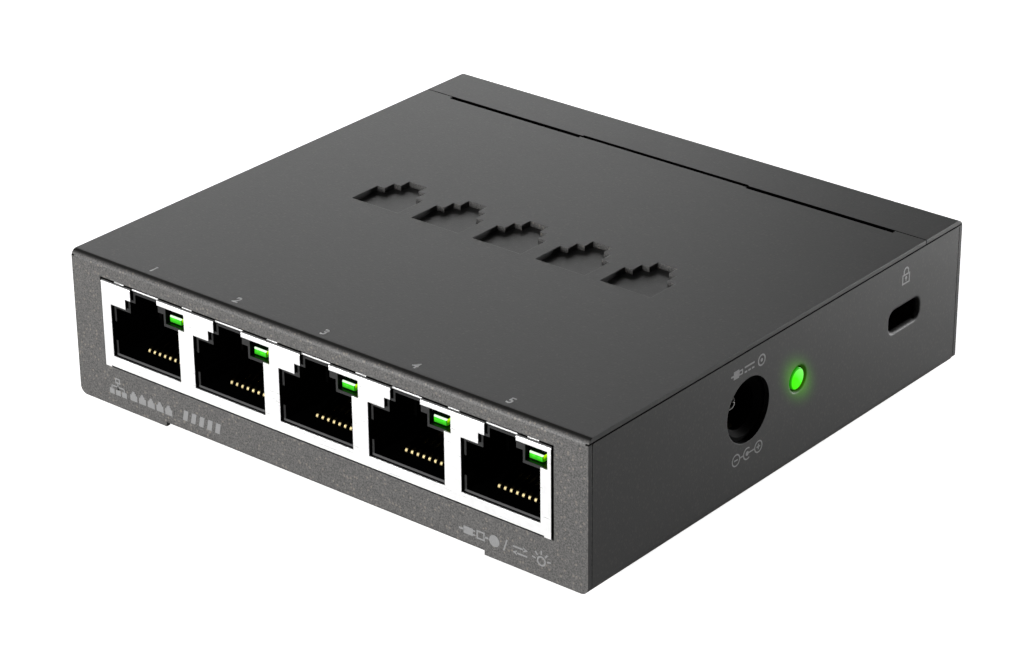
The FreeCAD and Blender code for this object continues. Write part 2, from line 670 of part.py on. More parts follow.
def dc_jack_terminals():
    """Solder tails of the sleeve contact and of its switch, on the board."""
    face = SPRING_PIVOT_X - SPRING_ROOT_R - 0.05
    post = box(face - 0.5, face, DC_Y - 1.0, DC_Y + 1.0, BOARD_TOP + 1.2, SPRING_PIVOT_Z + SPRING_T)
    side = box(DC_BACK + 6.0, DC_BACK + 8.4, DC_Y + DC_HALF + 0.02, DC_Y + DC_HALF + 0.42,
               BOARD_TOP, BOARD_TOP + 3.0)
    return [post, side]


def power_light():
    """Round light lying along X: a flange and a barrel with a flat, round-edged face."""
    face = X_OUT - LAMP_RECESS
    start = V(LAMP_BACK, LIGHT_Y, LIGHT_Z)
    barrel = rod(LAMP_R, start, V(face, LIGHT_Y, LIGHT_Z))
    barrel = barrel.makeFillet(LAMP_ROUND, [e for e in barrel.Edges if near(e.BoundBox.XMin, face)])
    flange = rod(LAMP_FLANGE_R, start, start + V(0.9, 0, 0))
    return [join([barrel, flange])]


def power_light_holder():
    """Black block that stands the light off the board."""
    back = X_IN - 7.0
    holder = box(back, X_IN - 0.2, LIGHT_Y - 2.5, LIGHT_Y + 2.5, BOARD_TOP, LIGHT_Z + 2.5)
    holder = bevel_edges(holder, 0.6, lambda p: near(p.z, LIGHT_Z + 2.5) and not near(p.x, X_IN - 0.2))
    gap = 0.05
    seat = rod(LAMP_FLANGE_R + gap, V(LAMP_BACK - gap, LIGHT_Y, LIGHT_Z), V(X_OUT, LIGHT_Y, LIGHT_Z))
    wires = [box(back - 1, LAMP_BACK + 0.4, LIGHT_Y + dy - 0.3, LIGHT_Y + dy + 0.3, LIGHT_Z - 0.3, LIGHT_Z + 0.3)
             for dy in (-0.8, 0.8)]
    return [holder.cut([seat] + wires)]


def power_light_leads():
    back = X_IN - 7.6
    leads = []
    for dy in (-0.8, 0.8):
        y0, y1 = LIGHT_Y + dy - 0.22, LIGHT_Y + dy + 0.22
        along = box(back, LAMP_BACK, y0, y1, LIGHT_Z - 0.22, LIGHT_Z + 0.22)
        down = box(back, back + 0.44, y0, y1, BOARD_TOP, LIGHT_Z + 0.22)
        leads.append(join([along, down]))
    return leads


# Board and what stands on it


def circuit_board():
    board = box(-BOARD_HALF, BOARD_HALF, BOARD_FRONT, BOARD_BACK, BOARD_TOP - BOARD_T, BOARD_TOP)
    board = round_edges(board, 1.0, anywhere, "Z")
    holes = [rod(BOARD_HOLE_R, V(x, y, BOARD_TOP - 3), V(x, y, BOARD_TOP + 1)) for x, y in BOARD_SCREWS]
    return [board.cut(holes)]


def package(x, y, size_x, size_y, low, high, bevel=0.3):
    """Moulded package with bevelled top edges, standing low above the board."""
    z1 = BOARD_TOP + high
    body = box(x - size_x / 2, x + size_x / 2, y - size_y / 2, y + size_y / 2, BOARD_TOP + low, z1)
    return bevel_edges(body, bevel, lambda p: near(p.z, z1))


def gull_lead(edge, low, exit_z, reach, width, thick):
    """Gull-wing lead in the YZ plane, leaving a package's face at y = edge towards +Y."""
    profile = [(edge, exit_z), (edge + reach * 0.35, exit_z), (edge + reach * 0.55, low),
               (edge + reach, low), (edge + reach, low + thick), (edge + reach * 0.55 + thick, low + thick),
               (edge + reach * 0.35 + thick, exit_z + thick), (edge, exit_z + thick)]
    return prism_yz(profile, -width / 2, width / 2)


def lead_rows(x, y, half, count, pitch, turns, exit_z, reach, width, thick):
    """Rows of gull-wing leads on the sides of a package. turns are the sides' directions in degrees from +Y."""
    leads = []
    for turn, edge in zip(turns, half):
        lead = gull_lead(edge, BOARD_TOP, BOARD_TOP + exit_z, reach, width, thick)
        for i in range(count):
            one = lead.copy()
            one.translate(V((i - (count - 1) / 2) * pitch, 0, 0))
            one.rotate(V(0, 0, 0), V(0, 0, 1), turn)
            one.translate(V(x, y, 0))
            leads.append(one)
    return leads


def switch_chip():
    chip = package(CHIP[0], CHIP[1], CHIP_SIZE, CHIP_SIZE, 0.1, 1.5)
    corner = V(CHIP[0] - 5.4, CHIP[1] - 5.4, BOARD_TOP)
    dot = rod(0.6, corner + V(0, 0, 1.4), corner + V(0, 0, 2))
    return [chip.cut(dot)]


def switch_chip_pins():
    half = CHIP_SIZE / 2
    return lead_rows(CHIP[0], CHIP[1], [half] * 4, 16, 0.8, (0, 90, 180, 270), 0.7, 1.0, 0.36, 0.15)


def magnetics_modules():
    sx, sy = MAGNETICS_SIZE
    return [package(x, MAGNETICS_Y, sx, sy, 0.2, 5.8, 0.5) for x in MAGNETICS_X]


def magnetics_pins():
    pins = []
    half = MAGNETICS_SIZE[0] / 2
    for x in MAGNETICS_X:
        pins += lead_rows(x, MAGNETICS_Y, [half, half], 8, 1.5, (90, 270), 0.9, 0.95, 0.5, 0.2)
    return pins


def soic(places):
    return [package(x, y, SMALL_SIZE[0], SMALL_SIZE[1], 0.1, 1.5, 0.25) for x, y in places]


def soic_pins(places):
    pins = []
    half = SMALL_SIZE[1] / 2
    for x, y in places:
        pins += lead_rows(x, y, [half, half], 4, 1.27, (0, 180), 0.6, 1.0, 0.42, 0.18)
    return pins


def crystal_can():
    """Low metal can with rounded ends on an oval base."""
    a, b = (V(CRYSTAL[0] + dx, CRYSTAL[1], BOARD_TOP) for dx in (-3.3, 3.3))
    base = stadium(a, b, 2.35, V(0, 0, 0.5))
    can = stadium(a, b, 1.95, V(0, 0, 3.5))
    top = [e for e in can.Edges if near(e.BoundBox.ZMin, BOARD_TOP + 3.5)]
    return [join([base, can.makeFillet(0.35, top)])]


def electrolytic_capacitors():
    """Aluminium cans with a rolled groove, on square bases."""
    made = []
    for x, y in CAPACITORS:
        base = hexagon(x, y, 6.4, BOARD_TOP, BOARD_TOP + 0.8)
        can = rod(3.1, V(x, y, BOARD_TOP + 0.8), V(x, y, BOARD_TOP + 7.6))
        can = can.makeFillet(0.5, [e for e in can.Edges if near(e.BoundBox.ZMin, BOARD_TOP + 7.6)])
        groove = Part.makeTorus(3.3, 0.35, V(x, y, BOARD_TOP + 1.9), V(0, 0, 1))
        made.append(join([base, can.cut(groove)]))
    return made


def power_inductors():
    """Square shielded inductors: a ferrite block with a round winding window."""
    made = []
    for x, y in INDUCTORS:
        block = package(x, y, 5.2, 5.2, 0.0, 3.0, 0.4)
        ring = rod(2.2, V(x, y, BOARD_TOP + 2.5), V(x, y, BOARD_TOP + 4))
        core = rod(1.75, V(x, y, BOARD_TOP + 2.5), V(x, y, BOARD_TOP + 3.0))
        made.append(join([block.cut(ring), core]))
    return made


def input_fuse():
    return [package(FUSE[0], FUSE[1], 3.2, 4.6, 0.0, 1.1, 0.2)]


def input_diode():
    return [package(DIODE[0], DIODE[1], 2.7, 4.4, 0.0, 2.2, 0.35)]


def small_passives():
    """Rows of chip resistors and capacitors."""
    rows = [(V(-33.6, -17.6, 0), V(3.5, 0, 0), 20), (V(-40.6, 2.0, 0), V(2.7, 0, 0), 5),
            (V(1.6, 4.4, 0), V(0, 2.2, 0), 6), (V(-19.4, 4.6, 0), V(0, 2.2, 0), 6),
            (V(8.2, 3.6, 0), V(0, 2.2, 0), 7), (V(-38.4, 6.0, 0), V(0, 2.4, 0), 3)]
    made = []
    for start, step, count in rows:
        for i in range(count):
            p = start + step * i
            along_x = step.y > 0
            half_x, half_y = (0.8, 0.4) if along_x else (0.4, 0.8)
            made.append(box(p.x - half_x, p.x + half_x, p.y - half_y, p.y + half_y, BOARD_TOP, BOARD_TOP + 0.5))
    return made


def save(name, solids):
    shape = solids[0] if len(solids) == 1 else Part.makeCompound(solids)
    for solid in shape.Solids:
        if not solid.isValid():
            raise ValueError(name + " holds a bad solid")
    if len(shape.Solids) != len(solids):
        raise ValueError(name + " has stray or missing solids")
    shape.exportStep(os.path.join("parts", name + ".step"))


def main():
    os.makedirs("parts", exist_ok=True)
    parts = {
        "base_tray": [base_tray()],
        "top_cover": [top_cover()],
        "rubber_feet": rubber_feet(),
        "cover_screws": cover_screws(),
        "rating_label": rating_label(),
        "pcb_standoffs": pcb_standoffs(),
        "pcb_screws": pcb_screws(),
        "circuit_board": circuit_board(),
        "jack_shield": jack_shield(),
        "jack_housing": jack_housing(),
        "port_contact_leads": port_contact_leads(),
        "port_lights": port_lights(),
        "port_light_leads": port_light_leads(),
        "dc_jack_body": dc_jack_body(),
        "dc_jack_pin": dc_jack_pin(),
        "dc_jack_spring": dc_jack_spring(),
        "dc_jack_terminals": dc_jack_terminals(),
        "power_light": power_light(),
        "power_light_holder": power_light_holder(),
        "power_light_leads": power_light_leads(),
        "switch_chip": switch_chip(),
        "switch_chip_pins": switch_chip_pins(),
        "magnetics_modules": magnetics_modules(),
        "magnetics_pins": magnetics_pins(),
        "memory_chip": soic([MEMORY]),
        "memory_chip_pins": soic_pins([MEMORY]),
        "voltage_regulators": soic(REGULATORS),
        "regulator_pins": soic_pins(REGULATORS),
        "crystal_can": crystal_can(),
        "electrolytic_capacitors": electrolytic_capacitors(),
        "power_inductors": power_inductors(),
        "input_fuse": input_fuse(),
        "input_diode": input_diode(),
        "small_passives": small_passives(),
    }
    for i, x in enumerate(port_centres()):
        parts["port_" + str(i + 1) + "_spring_contacts"] = spring_contacts(x)
    for name, solids in parts.items():
        save(name, solids)


main()
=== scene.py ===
"""Looks for the five-port desktop network switch. Metres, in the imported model's frame."""

import json
import math

import bmesh
import bpy
import numpy as np
from mathutils import Matrix, Vector

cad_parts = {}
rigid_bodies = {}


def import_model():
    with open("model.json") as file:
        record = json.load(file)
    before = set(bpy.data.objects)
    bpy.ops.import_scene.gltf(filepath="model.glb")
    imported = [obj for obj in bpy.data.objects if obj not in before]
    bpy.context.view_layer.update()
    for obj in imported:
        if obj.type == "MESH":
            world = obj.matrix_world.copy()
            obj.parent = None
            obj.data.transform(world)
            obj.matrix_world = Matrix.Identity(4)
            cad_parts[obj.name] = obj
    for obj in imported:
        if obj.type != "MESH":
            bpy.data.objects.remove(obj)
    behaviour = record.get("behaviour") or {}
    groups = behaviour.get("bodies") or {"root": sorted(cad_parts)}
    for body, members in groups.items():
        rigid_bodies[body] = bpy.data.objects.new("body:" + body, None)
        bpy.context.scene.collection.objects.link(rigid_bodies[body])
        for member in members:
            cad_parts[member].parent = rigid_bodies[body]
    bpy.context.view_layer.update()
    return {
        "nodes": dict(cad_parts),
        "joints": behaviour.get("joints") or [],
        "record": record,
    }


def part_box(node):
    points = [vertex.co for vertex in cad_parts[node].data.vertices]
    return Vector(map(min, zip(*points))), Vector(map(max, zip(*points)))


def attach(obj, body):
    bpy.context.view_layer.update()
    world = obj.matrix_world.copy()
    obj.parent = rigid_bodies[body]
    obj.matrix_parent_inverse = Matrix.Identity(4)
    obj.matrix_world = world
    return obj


MM = 0.001
UP = Vector((0, 0, 1))
RIGHT = Vector((1, 0, 0))
REAR = Vector((0, 1, 0))

# The case
BASE = "case_base"
COVER = "case_cover"
PORTS = 5
SHEET = 0.7 * MM
RUNNING_GAP = 0.12 * MM
STRIP_DEPTH = 9.5 * MM      # from the rear wall to the seam across the roof
TONGUE_REACH = 41.3 * MM    # just past the ends of the seam's wide stretches, from the middle

# The pocket for each socket's light, from the socket's centre and from the desk
POCKET_LEFT = 3.5 * MM
POCKET_FLOOR = 17.4 * MM

# The part of each side plate that holds its holes, and where the lock slot's share of it starts
HOLES_Y = (-30 * MM, 36 * MM)
HOLES_Z = (6 * MM, 22.5 * MM)
SLOT_FROM_Y = 20 * MM

# Paint and ink: shades from 0 for black to 1 for white, and the ink's thickness
PANEL_PAINT = 0.052
CASE_PAINT = 0.036
# Painted shade: the black painted into the seams and onto the walls of the side plates' holes
SEAM_SHADE_BLACK = 0.0015
HOLE_SHADE_BLACK = 0.002
LEGEND_INK = 0.15
SIDE_INK = 0.26
ROOF_INK = 0.8
BOARD_INK = 0.75
INK_HEIGHT = 0.02 * MM

# Stage: the light the floor gives the camera, the light all round, and the floor's half width in metres
FLOOR_LIFT = 0.92
WORLD_LIGHT = 0.03
FLOOR_HALF = 4.0


# ---------------------------------------------------------------- shader helpers


class Shader:
    """Builds one procedural material, node by node."""

    def __init__(self, name):
        self.material = bpy.data.materials.new(name)
        self.material.use_nodes = True
        self.tree = self.material.node_tree
        self.tree.nodes.clear()
        self.coords = self.node("ShaderNodeTexCoord").outputs["Object"]

    def node(self, kind, links=None, **settings):
        made = self.tree.nodes.new(kind)
        for name, value in settings.items():
            setattr(made, name, value)
        for socket, value in (links or {}).items():
            self.feed(made.inputs[socket], value)
        return made

    def feed(self, socket, value):
        if isinstance(value, bpy.types.NodeSocket):
            self.tree.links.new(value, socket)
        else:
            socket.default_value = value

    def place(self, axis):
        """Distance along axis 0, 1 or 2, in metres."""
        return self.node("ShaderNodeSeparateXYZ", {"Vector": self.coords}).outputs[axis]

    def mapped(self, stretch):
        """Object coordinates with each axis scaled."""
        return self.node("ShaderNodeMapping", {"Vector": self.coords, "Scale": stretch}).outputs[0]

    def noise(self, size, detail=3.0, rough=0.55, coords=None):
        """Cloudy noise, whose blobs are about size metres across, from 0 to 1."""
        links = {"Vector": coords or self.coords, "Scale": 1 / size}
        links.update({"Detail": detail, "Roughness": rough})
        return self.node("ShaderNodeTexNoise", links).outputs["Fac"]

    def dots(self, size, radius, share):
        """Round dots in cells of size metres. radius is in cells, share is how many of them hold one."""
        cells = self.node("ShaderNodeTexVoronoi", {"Vector": self.coords, "Scale": 1 / size})
        inside = self.math("LESS_THAN", cells.outputs["Distance"], radius)
        pick = self.node("ShaderNodeSeparateColor", {"Color": cells.outputs["Color"]}).outputs[0]
        return self.math("MULTIPLY", inside, self.math("LESS_THAN", pick, share))

    def math(self, operation, a, b=0.0):
        return self.node("ShaderNodeMath", {0: a, 1: b}, operation=operation).outputs[0]

    def remap(self, value, low, high, to_low=0.0, to_high=1.0):
        links = {"Value": value, "From Min": low, "From Max": high, "To Min": to_low, "To Max": to_high}
        return self.node("ShaderNodeMapRange", links).outputs[0]

    def between(self, value, low, high):
        """1 where value lies between low and high, else 0."""
        above = self.math("GREATER_THAN", value, low)
        below = self.math("LESS_THAN", value, high)
        return self.math("MULTIPLY", above, below)

    def product(self, *values):
        result = values[0]
        for value in values[1:]:
            result = self.math("MULTIPLY", result, value)
        return result

    def side_reach(self, y, z, long_half, short_half):
        """Distance from (y, z) seen along X, 1 on an ellipse whose long axis falls towards the rear."""
        dy = self.math("SUBTRACT", self.place(1), y)
        dz = self.math("SUBTRACT", self.place(2), z)
        along = self.math("DIVIDE", self.math("SUBTRACT", dy, dz), long_half * math.sqrt(2))
        across = self.math("DIVIDE", self.math("ADD", dy, dz), short_half * math.sqrt(2))
        squares = self.math("ADD", self.product(along, along), self.product(across, across))
        return self.math("SQRT", squares)

    def mix(self, share, a, b):
        made = self.node("ShaderNodeMix", data_type="RGBA")
        for i, value in ((0, share), (6, a), (7, b)):
            self.feed(made.inputs[i], value)
        return made.outputs[2]

    def bump(self, height, depth, strength=1.0, normal=None):
        links = {"Height": height, "Distance": depth, "Strength": strength}
        if normal:
            links["Normal"] = normal
        return self.node("ShaderNodeBump", links).outputs[0]

    def worn_edges(self, radius):
        """1 along sharp edges, 0 elsewhere, and the softened normal."""
        soft = self.node("ShaderNodeBevel", {"Radius": radius}, samples=6).outputs[0]
        true = self.node("ShaderNodeNewGeometry").outputs["Normal"]
        dot = self.node("ShaderNodeVectorMath", {0: soft, 1: true}, operation="DOT_PRODUCT")
        return self.remap(dot.outputs["Value"], 0.995, 0.85), soft

    def facing(self, direction):
        """How squarely the surface faces a direction at rest, from -1 to 1."""
        normal = self.node("ShaderNodeTexCoord").outputs["Normal"]
        links = {0: normal, 1: direction}
        return self.node("ShaderNodeVectorMath", links, operation="DOT_PRODUCT").outputs["Value"]

    def finish(self, **links):
        """Ends the material in a Principled shader. Underscores stand for spaces in the input names."""
        named = {key.replace("_", " "): value for key, value in links.items()}
        made = self.node("ShaderNodeBsdfPrincipled", named)
        self.node("ShaderNodeOutputMaterial", {"Surface": made.outputs[0]})
        return self.material


def grey(value, warmth=0.0):
    """A grey, which leans towards red as warmth grows."""
    return (value * (1 + warmth), value, value * (1 - warmth), 1.0)


# ---------------------------------------------------------------- materials


def painted_seam_shade(s, upward):
    """Painted shade: 1 in the seams between cover and tray, which see almost no light, and just beside
    them.
    """
    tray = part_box("base_tray")[1]
    seam_y = tray.y - STRIP_DEPTH + RUNNING_GAP / 2
    seam_z = tray.z - SHEET - RUNNING_GAP / 2
    band = 0.13 * MM
    out = s.math("ABSOLUTE", s.place(0))
    at_side = s.math("GREATER_THAN", out, tray.x - 0.5 * MM)
    side_seam = s.product(at_side, s.between(s.place(2), seam_z - band, seam_z + band))
    below_roof = s.math("LESS_THAN", s.place(2), tray.z - 0.3 * MM)
    upright = s.math("LESS_THAN", upward, 0.6)
    across = s.between(s.place(1), seam_y - 0.66 * MM, seam_y + 0.54 * MM)
    over_board = s.math("GREATER_THAN", s.place(2), seam_z - MM)
    between_ends = s.math("LESS_THAN", out, TONGUE_REACH)
    rear_seam = s.product(across, over_board, between_ends, s.math("MAXIMUM", below_roof, upright))
    hairline = s.between(s.place(1), seam_y - 0.1 * MM, seam_y + 0.1 * MM)
    corner_seam = s.product(hairline, s.math("GREATER_THAN", s.place(2), seam_z))
    return s.math("MAXIMUM", s.math("MAXIMUM", side_seam, rear_seam), corner_seam)


def painted_hole_shade(s):
    """Painted shade on the walls of the side plates' holes, which see little light: how dark each wall is.
    The lock slot's floor is the palest.
    """
    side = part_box("base_tray")[1].x
    in_plate = s.math("GREATER_THAN", s.math("ABSOLUTE", s.place(0)), side - SHEET - 0.05 * MM)
    turned = s.remap(s.math("ABSOLUTE", s.facing(RIGHT)), 0.99, 0.85)
    in_field = s.product(s.between(s.place(1), *HOLES_Y), s.between(s.place(2), *HOLES_Z))
    in_slot = s.math("GREATER_THAN", s.place(1), SLOT_FROM_Y)
    slot_floor = s.product(in_slot, s.remap(s.facing(UP), 0.3, 0.7))
    return s.product(in_plate, turned, in_field, s.remap(slot_floor, 0, 1, 0.85, 0.4))


def lamp_spill(s, hole_shade):
    """The power light's glow on the side plate, weaker in the hole's wall."""
    low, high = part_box("power_light")
    middle = (low + high) / 2
    reach = s.side_reach(middle.y, middle.z, 7.0 * MM, 4.2 * MM)
    fading = s.math("POWER", s.remap(reach, 1.0, 0.2), 2.6)
    on_side = s.math("GREATER_THAN", s.place(0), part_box("base_tray")[1].x - 0.4 * MM)
    return s.product(fading, on_side, s.remap(hole_shade, 0, 1, 1.0, 0.4))


def powder_coat():
    """Dark grey textured paint. The front panel is lighter and warmer, with more flakes.

    The bend above the panel, the seams and the holes' edges are darkened with painted shade. The power
    light's glow on the side is painted.
    """
    s = Shader("powder_coat")
    forward = s.facing(-REAR)
    front = s.remap(forward, 0.5, 0.85)
    upward = s.facing(UP)
    grain = s.noise(0.28 * MM, 3.0, 0.6)
    clouds = s.noise(9 * MM, 2.0, 0.5)
    case = s.mix(grain, grey(CASE_PAINT * 0.7, 0.005), grey(CASE_PAINT * 1.3, 0.01))
    panel_grain = s.remap(s.noise(0.24 * MM, 3.0, 0.7), 0.36, 0.64)
    panel = s.mix(panel_grain, grey(PANEL_PAINT * 0.35, 0.01), grey(PANEL_PAINT * 1.65, 0.04))
    colour = s.mix(front, case, panel)
    flakes = s.math("MULTIPLY", s.dots(0.62 * MM, 0.3, 0.4), s.remap(front, 0, 1, 0.1, 0.55))
    colour = s.mix(flakes, colour, grey(0.13, 0.14))
    colour = s.mix(s.remap(clouds, 0.3, 0.7, 0.0, 0.1), colour, grey(0.025))
    edge, soft = s.worn_edges(0.12 * MM)
    colour = s.mix(s.math("MULTIPLY", edge, 0.2), colour, grey(0.1))
    # Painted shade along the bend above the panel, which faces away from the lights
    bend = s.math("MULTIPLY", s.remap(forward, 0.08, 0.25), s.remap(upward, 0.6, 0.85))
    colour = s.mix(s.math("MULTIPLY", bend, 0.7), colour, grey(0.004, 0.1))
    # Painted shade in the seams and on the walls of the side plates' holes
    gaps = painted_seam_shade(s, upward)
    hole_shade = painted_hole_shade(s)
    colour = s.mix(hole_shade, colour, grey(HOLE_SHADE_BLACK))
    colour = s.mix(gaps, colour, grey(SEAM_SHADE_BLACK))
    texture = s.bump(s.noise(0.22 * MM, 2.0, 0.5), 0.03 * MM, 0.5, soft)
    texture = s.bump(s.noise(1.3 * MM, 1.0), 0.02 * MM, 0.35, texture)
    rough = s.remap(grain, 0.2, 0.8, 0.44, 0.58)
    # Less shine where shade is painted: the bend, the seams and the holes' walls
    dull = s.math("MAXIMUM", s.math("MAXIMUM", bend, gaps), hole_shade)
    spill = lamp_spill(s, hole_shade)
    colour = s.mix(spill, colour, (0.02, 0.04, 0.0, 1))
    return s.finish(Base_Color=colour, Roughness=rough, Normal=texture,
                    Specular_IOR_Level=s.remap(dull, 0, 1, 0.42, 0.03),
                    Emission_Color=(0.05, 0.26, 0.0, 1), Emission_Strength=spill)


def bright_plate():
    """Tin plate: bright, with faint rolling lines and a soft mottling. Painted shade makes it dark behind
    its face, and its top edges at the face are painted grey.
    """
    s = Shader("bright_plate")
    lines = s.noise(0.3 * MM, 2.0, 0.5, s.mapped((0.06, 1.0, 1.0)))
    mottle = s.noise(1.2 * MM, 3.0, 0.6)
    colour = s.mix(s.remap(mottle, 0.3, 0.7), grey(0.8, 0.004), grey(0.88))
    face_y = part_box("jack_shield")[0].y
    turned_away = s.remap(s.facing(-REAR), 0.6, 0.4)
    in_face = s.math("LESS_THAN", s.place(1), face_y + 0.3 * MM)
    near_window = s.math("LESS_THAN", s.place(1), face_y + 1.6 * MM)
    on_roof = s.math("GREATER_THAN", s.facing(UP), 0.6)
    top_edge_shade = s.math("MULTIPLY", in_face, on_roof)
    # Painted shade: near black on faces turned from the front close behind the window, dim grey on the
    # plate's top edges
    colour = s.mix(s.math("MULTIPLY", near_window, turned_away), colour, grey(0.006))
    colour = s.mix(top_edge_shade, colour, grey(0.3))
    rough = s.remap(lines, 0.3, 0.7, 0.27, 0.34)
    soft = s.worn_edges(0.08 * MM)[1]
    texture = s.bump(s.math("ADD", lines, mottle), 0.002 * MM, 0.4, soft)
    return s.finish(Base_Color=colour, Metallic=0.6, Roughness=rough, Normal=texture)


def bare_metal(name, colour, low, high, grain_size=0.25 * MM):
    """Bare metal with a fine grain, blotches of tarnish and brighter edges. Roughness is low to high."""
    s = Shader(name)
    grain = s.noise(grain_size, 3.0, 0.6)
    blotches = s.noise(grain_size * 7, 2.0, 0.5)
    dull = tuple(c * 0.72 for c in colour[:3]) + (1.0,)
    shade = s.mix(s.remap(blotches, 0.35, 0.75), colour, dull)
    edge, soft = s.worn_edges(0.06 * MM)
    bright = tuple(min(1.0, c * 1.15) for c in colour[:3]) + (1.0,)
    shade = s.mix(s.math("MULTIPLY", edge, 0.5), shade, bright)
    texture = s.bump(grain, 0.008 * MM, 0.5, soft)
    rough = s.remap(grain, 0.2, 0.8, low, high)
    return s.finish(Base_Color=shade, Metallic=1.0, Roughness=rough, Normal=texture)


def moulded(name, value, low, high, grain_size=0.12 * MM, edge_value=0.05, level=0.35):
    """Moulded plastic or epoxy with a fine grain. Roughness is low to high, and level is its gloss."""
    s = Shader(name)
    grain = s.noise(grain_size, 3.0, 0.6)
    flow = s.noise(2.5 * MM, 2.0, 0.5, s.mapped((1.0, 0.4, 1.0)))
    colour = s.mix(grain, grey(value * 0.7), grey(value * 1.3))
    colour = s.mix(s.remap(flow, 0.35, 0.7, 0, 0.3), colour, grey(value * 1.5, 0.02))
    edge, soft = s.worn_edges(0.07 * MM)
    colour = s.mix(s.math("MULTIPLY", edge, 0.4), colour, grey(edge_value))
    texture = s.bump(grain, 0.01 * MM, 0.6, soft)
    return s.finish(Base_Color=colour, Roughness=s.remap(grain, 0.2, 0.8, low, high), Normal=texture,
                    Specular_IOR_Level=level)


def housing_black(frame):
    """Socket plastic, with light and shade painted: near black inside, dark grey on the raised rims and
    paler on the lower rim, and glossy in the lights' pockets, whose floors carry a painted green glow.
    """
    s = Shader("housing_black")
    face_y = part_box("jack_housing")[0].y
    at_rim = s.math("LESS_THAN", s.place(1), face_y + 0.12 * MM)
    square = s.remap(s.facing(-REAR), 0.7, 0.95)
    upward = s.remap(s.facing(UP), 0.7, 0.95)
    grain = s.noise(0.1 * MM, 3.0, 0.6)
    # Painted light: the rims' fronts are a lit dark grey and the lower rim, facing up, is paler; all else
    # is painted shade
    rim = s.mix(grain, grey(0.009), grey(0.016))
    below_cavities = s.remap(s.place(2), 10.0 * MM, 9.9 * MM)
    rim = s.mix(below_cavities, rim, s.mix(grain, grey(0.036), grey(0.06)))
    colour = s.mix(s.math("MULTIPLY", at_rim, square), grey(0.001), rim)
    places = port_places(frame)
    pitch = places[1] - places[0]
    span = {0: s.place(0), 1: pitch / 2, 2: -pitch / 2}
    along = s.node("ShaderNodeMath", span, operation="WRAP").outputs[0]
    beside = s.math("GREATER_THAN", along, POCKET_LEFT)
    above = s.math("GREATER_THAN", s.place(2), POCKET_FLOOR)
    # Painted green glow of the light on its pocket's floor
    pocket_floor = s.product(beside, above, s.math("SUBTRACT", 1.0, at_rim), upward)
    colour = s.mix(pocket_floor, colour, (0.002, 0.02, 0.001, 1))
    shine = s.math("MULTIPLY", pocket_floor, 0.3)
    level = s.math("ADD", s.remap(at_rim, 0, 1, 0.02, 0.2), shine)
    rough = s.math("SUBTRACT", s.remap(grain, 0.2, 0.8, 0.45, 0.7), shine)
    return s.finish(Base_Color=colour, Roughness=rough, Normal=s.bump(grain, 0.008 * MM, 0.5),
                    Specular_IOR_Level=level)


def gilt_springs():
    """Gilded wire: a painted glint at the bend in the socket's mouth, and painted shade that darkens it
    behind the bend.
    """
    s = Shader("gilt_springs")
    grain = s.noise(0.12 * MM, 3.0, 0.6)
    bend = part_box("port_1_spring_contacts")[0].y
    # Painted shade: the wire behind the bend turns near black
    behind = s.remap(s.place(1), bend + 0.3 * MM, bend + 0.85 * MM)
    shade = s.mix(s.remap(grain, 0.3, 0.7), (0.85, 0.7, 0.36, 1), (0.7, 0.52, 0.2, 1))
    shade = s.mix(behind, shade, (0.01, 0.007, 0.002, 1))
    # Painted glint on the front of the bend
    gleam = s.product(s.remap(s.place(1), bend + 0.26 * MM, bend + 0.1 * MM),
                      s.remap(s.facing((0, -1, 1)), 0.7, 1.35))
    return s.finish(Base_Color=shade, Metallic=1.0, Roughness=s.remap(grain, 0.2, 0.8, 0.16, 0.28),
                    Normal=s.bump(grain, 0.006 * MM, 0.4), Emission_Color=(1.0, 0.82, 0.42, 1),
                    Emission_Strength=gleam)


def inlet_pin(frame):
    """Plated tube in a dark socket: a painted gleam round the lower rear of its tip, and painted shade, a
    near black colour, on the rest.
    """
    s = Shader("inlet_pin")
    grain = s.noise(0.12 * MM, 3.0, 0.6)
    axis = mount_place(frame, "power_inlet")
    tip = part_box("dc_jack_pin")[1].x
    # Painted gleam round the lower rear of the tip's rim
    at_tip = s.remap(s.place(0), tip - 0.35 * MM, tip - 0.15 * MM)
    down = s.math("SUBTRACT", axis.z, s.place(2))
    rearward = s.math("SUBTRACT", s.place(1), axis.y)
    lower_rear = s.remap(s.math("ADD", down, rearward), 0.2 * MM, 1.3 * MM, 0.05, 0.6)
    rim = s.remap(s.side_reach(axis.y, axis.z, 1.0 * MM, 1.0 * MM), 0.62, 0.78)
    # Painted shade: the plated tube is coloured near black
    shade = s.mix(s.remap(grain, 0.3, 0.7), grey(0.015), grey(0.03))
    return s.finish(Base_Color=shade, Metallic=1.0, Roughness=s.remap(grain, 0.2, 0.8, 0.3, 0.45),
                    Normal=s.bump(grain, 0.006 * MM, 0.4), Emission_Color=grey(0.62, 0.02),
                    Emission_Strength=s.product(at_tip, lower_rear, rim))


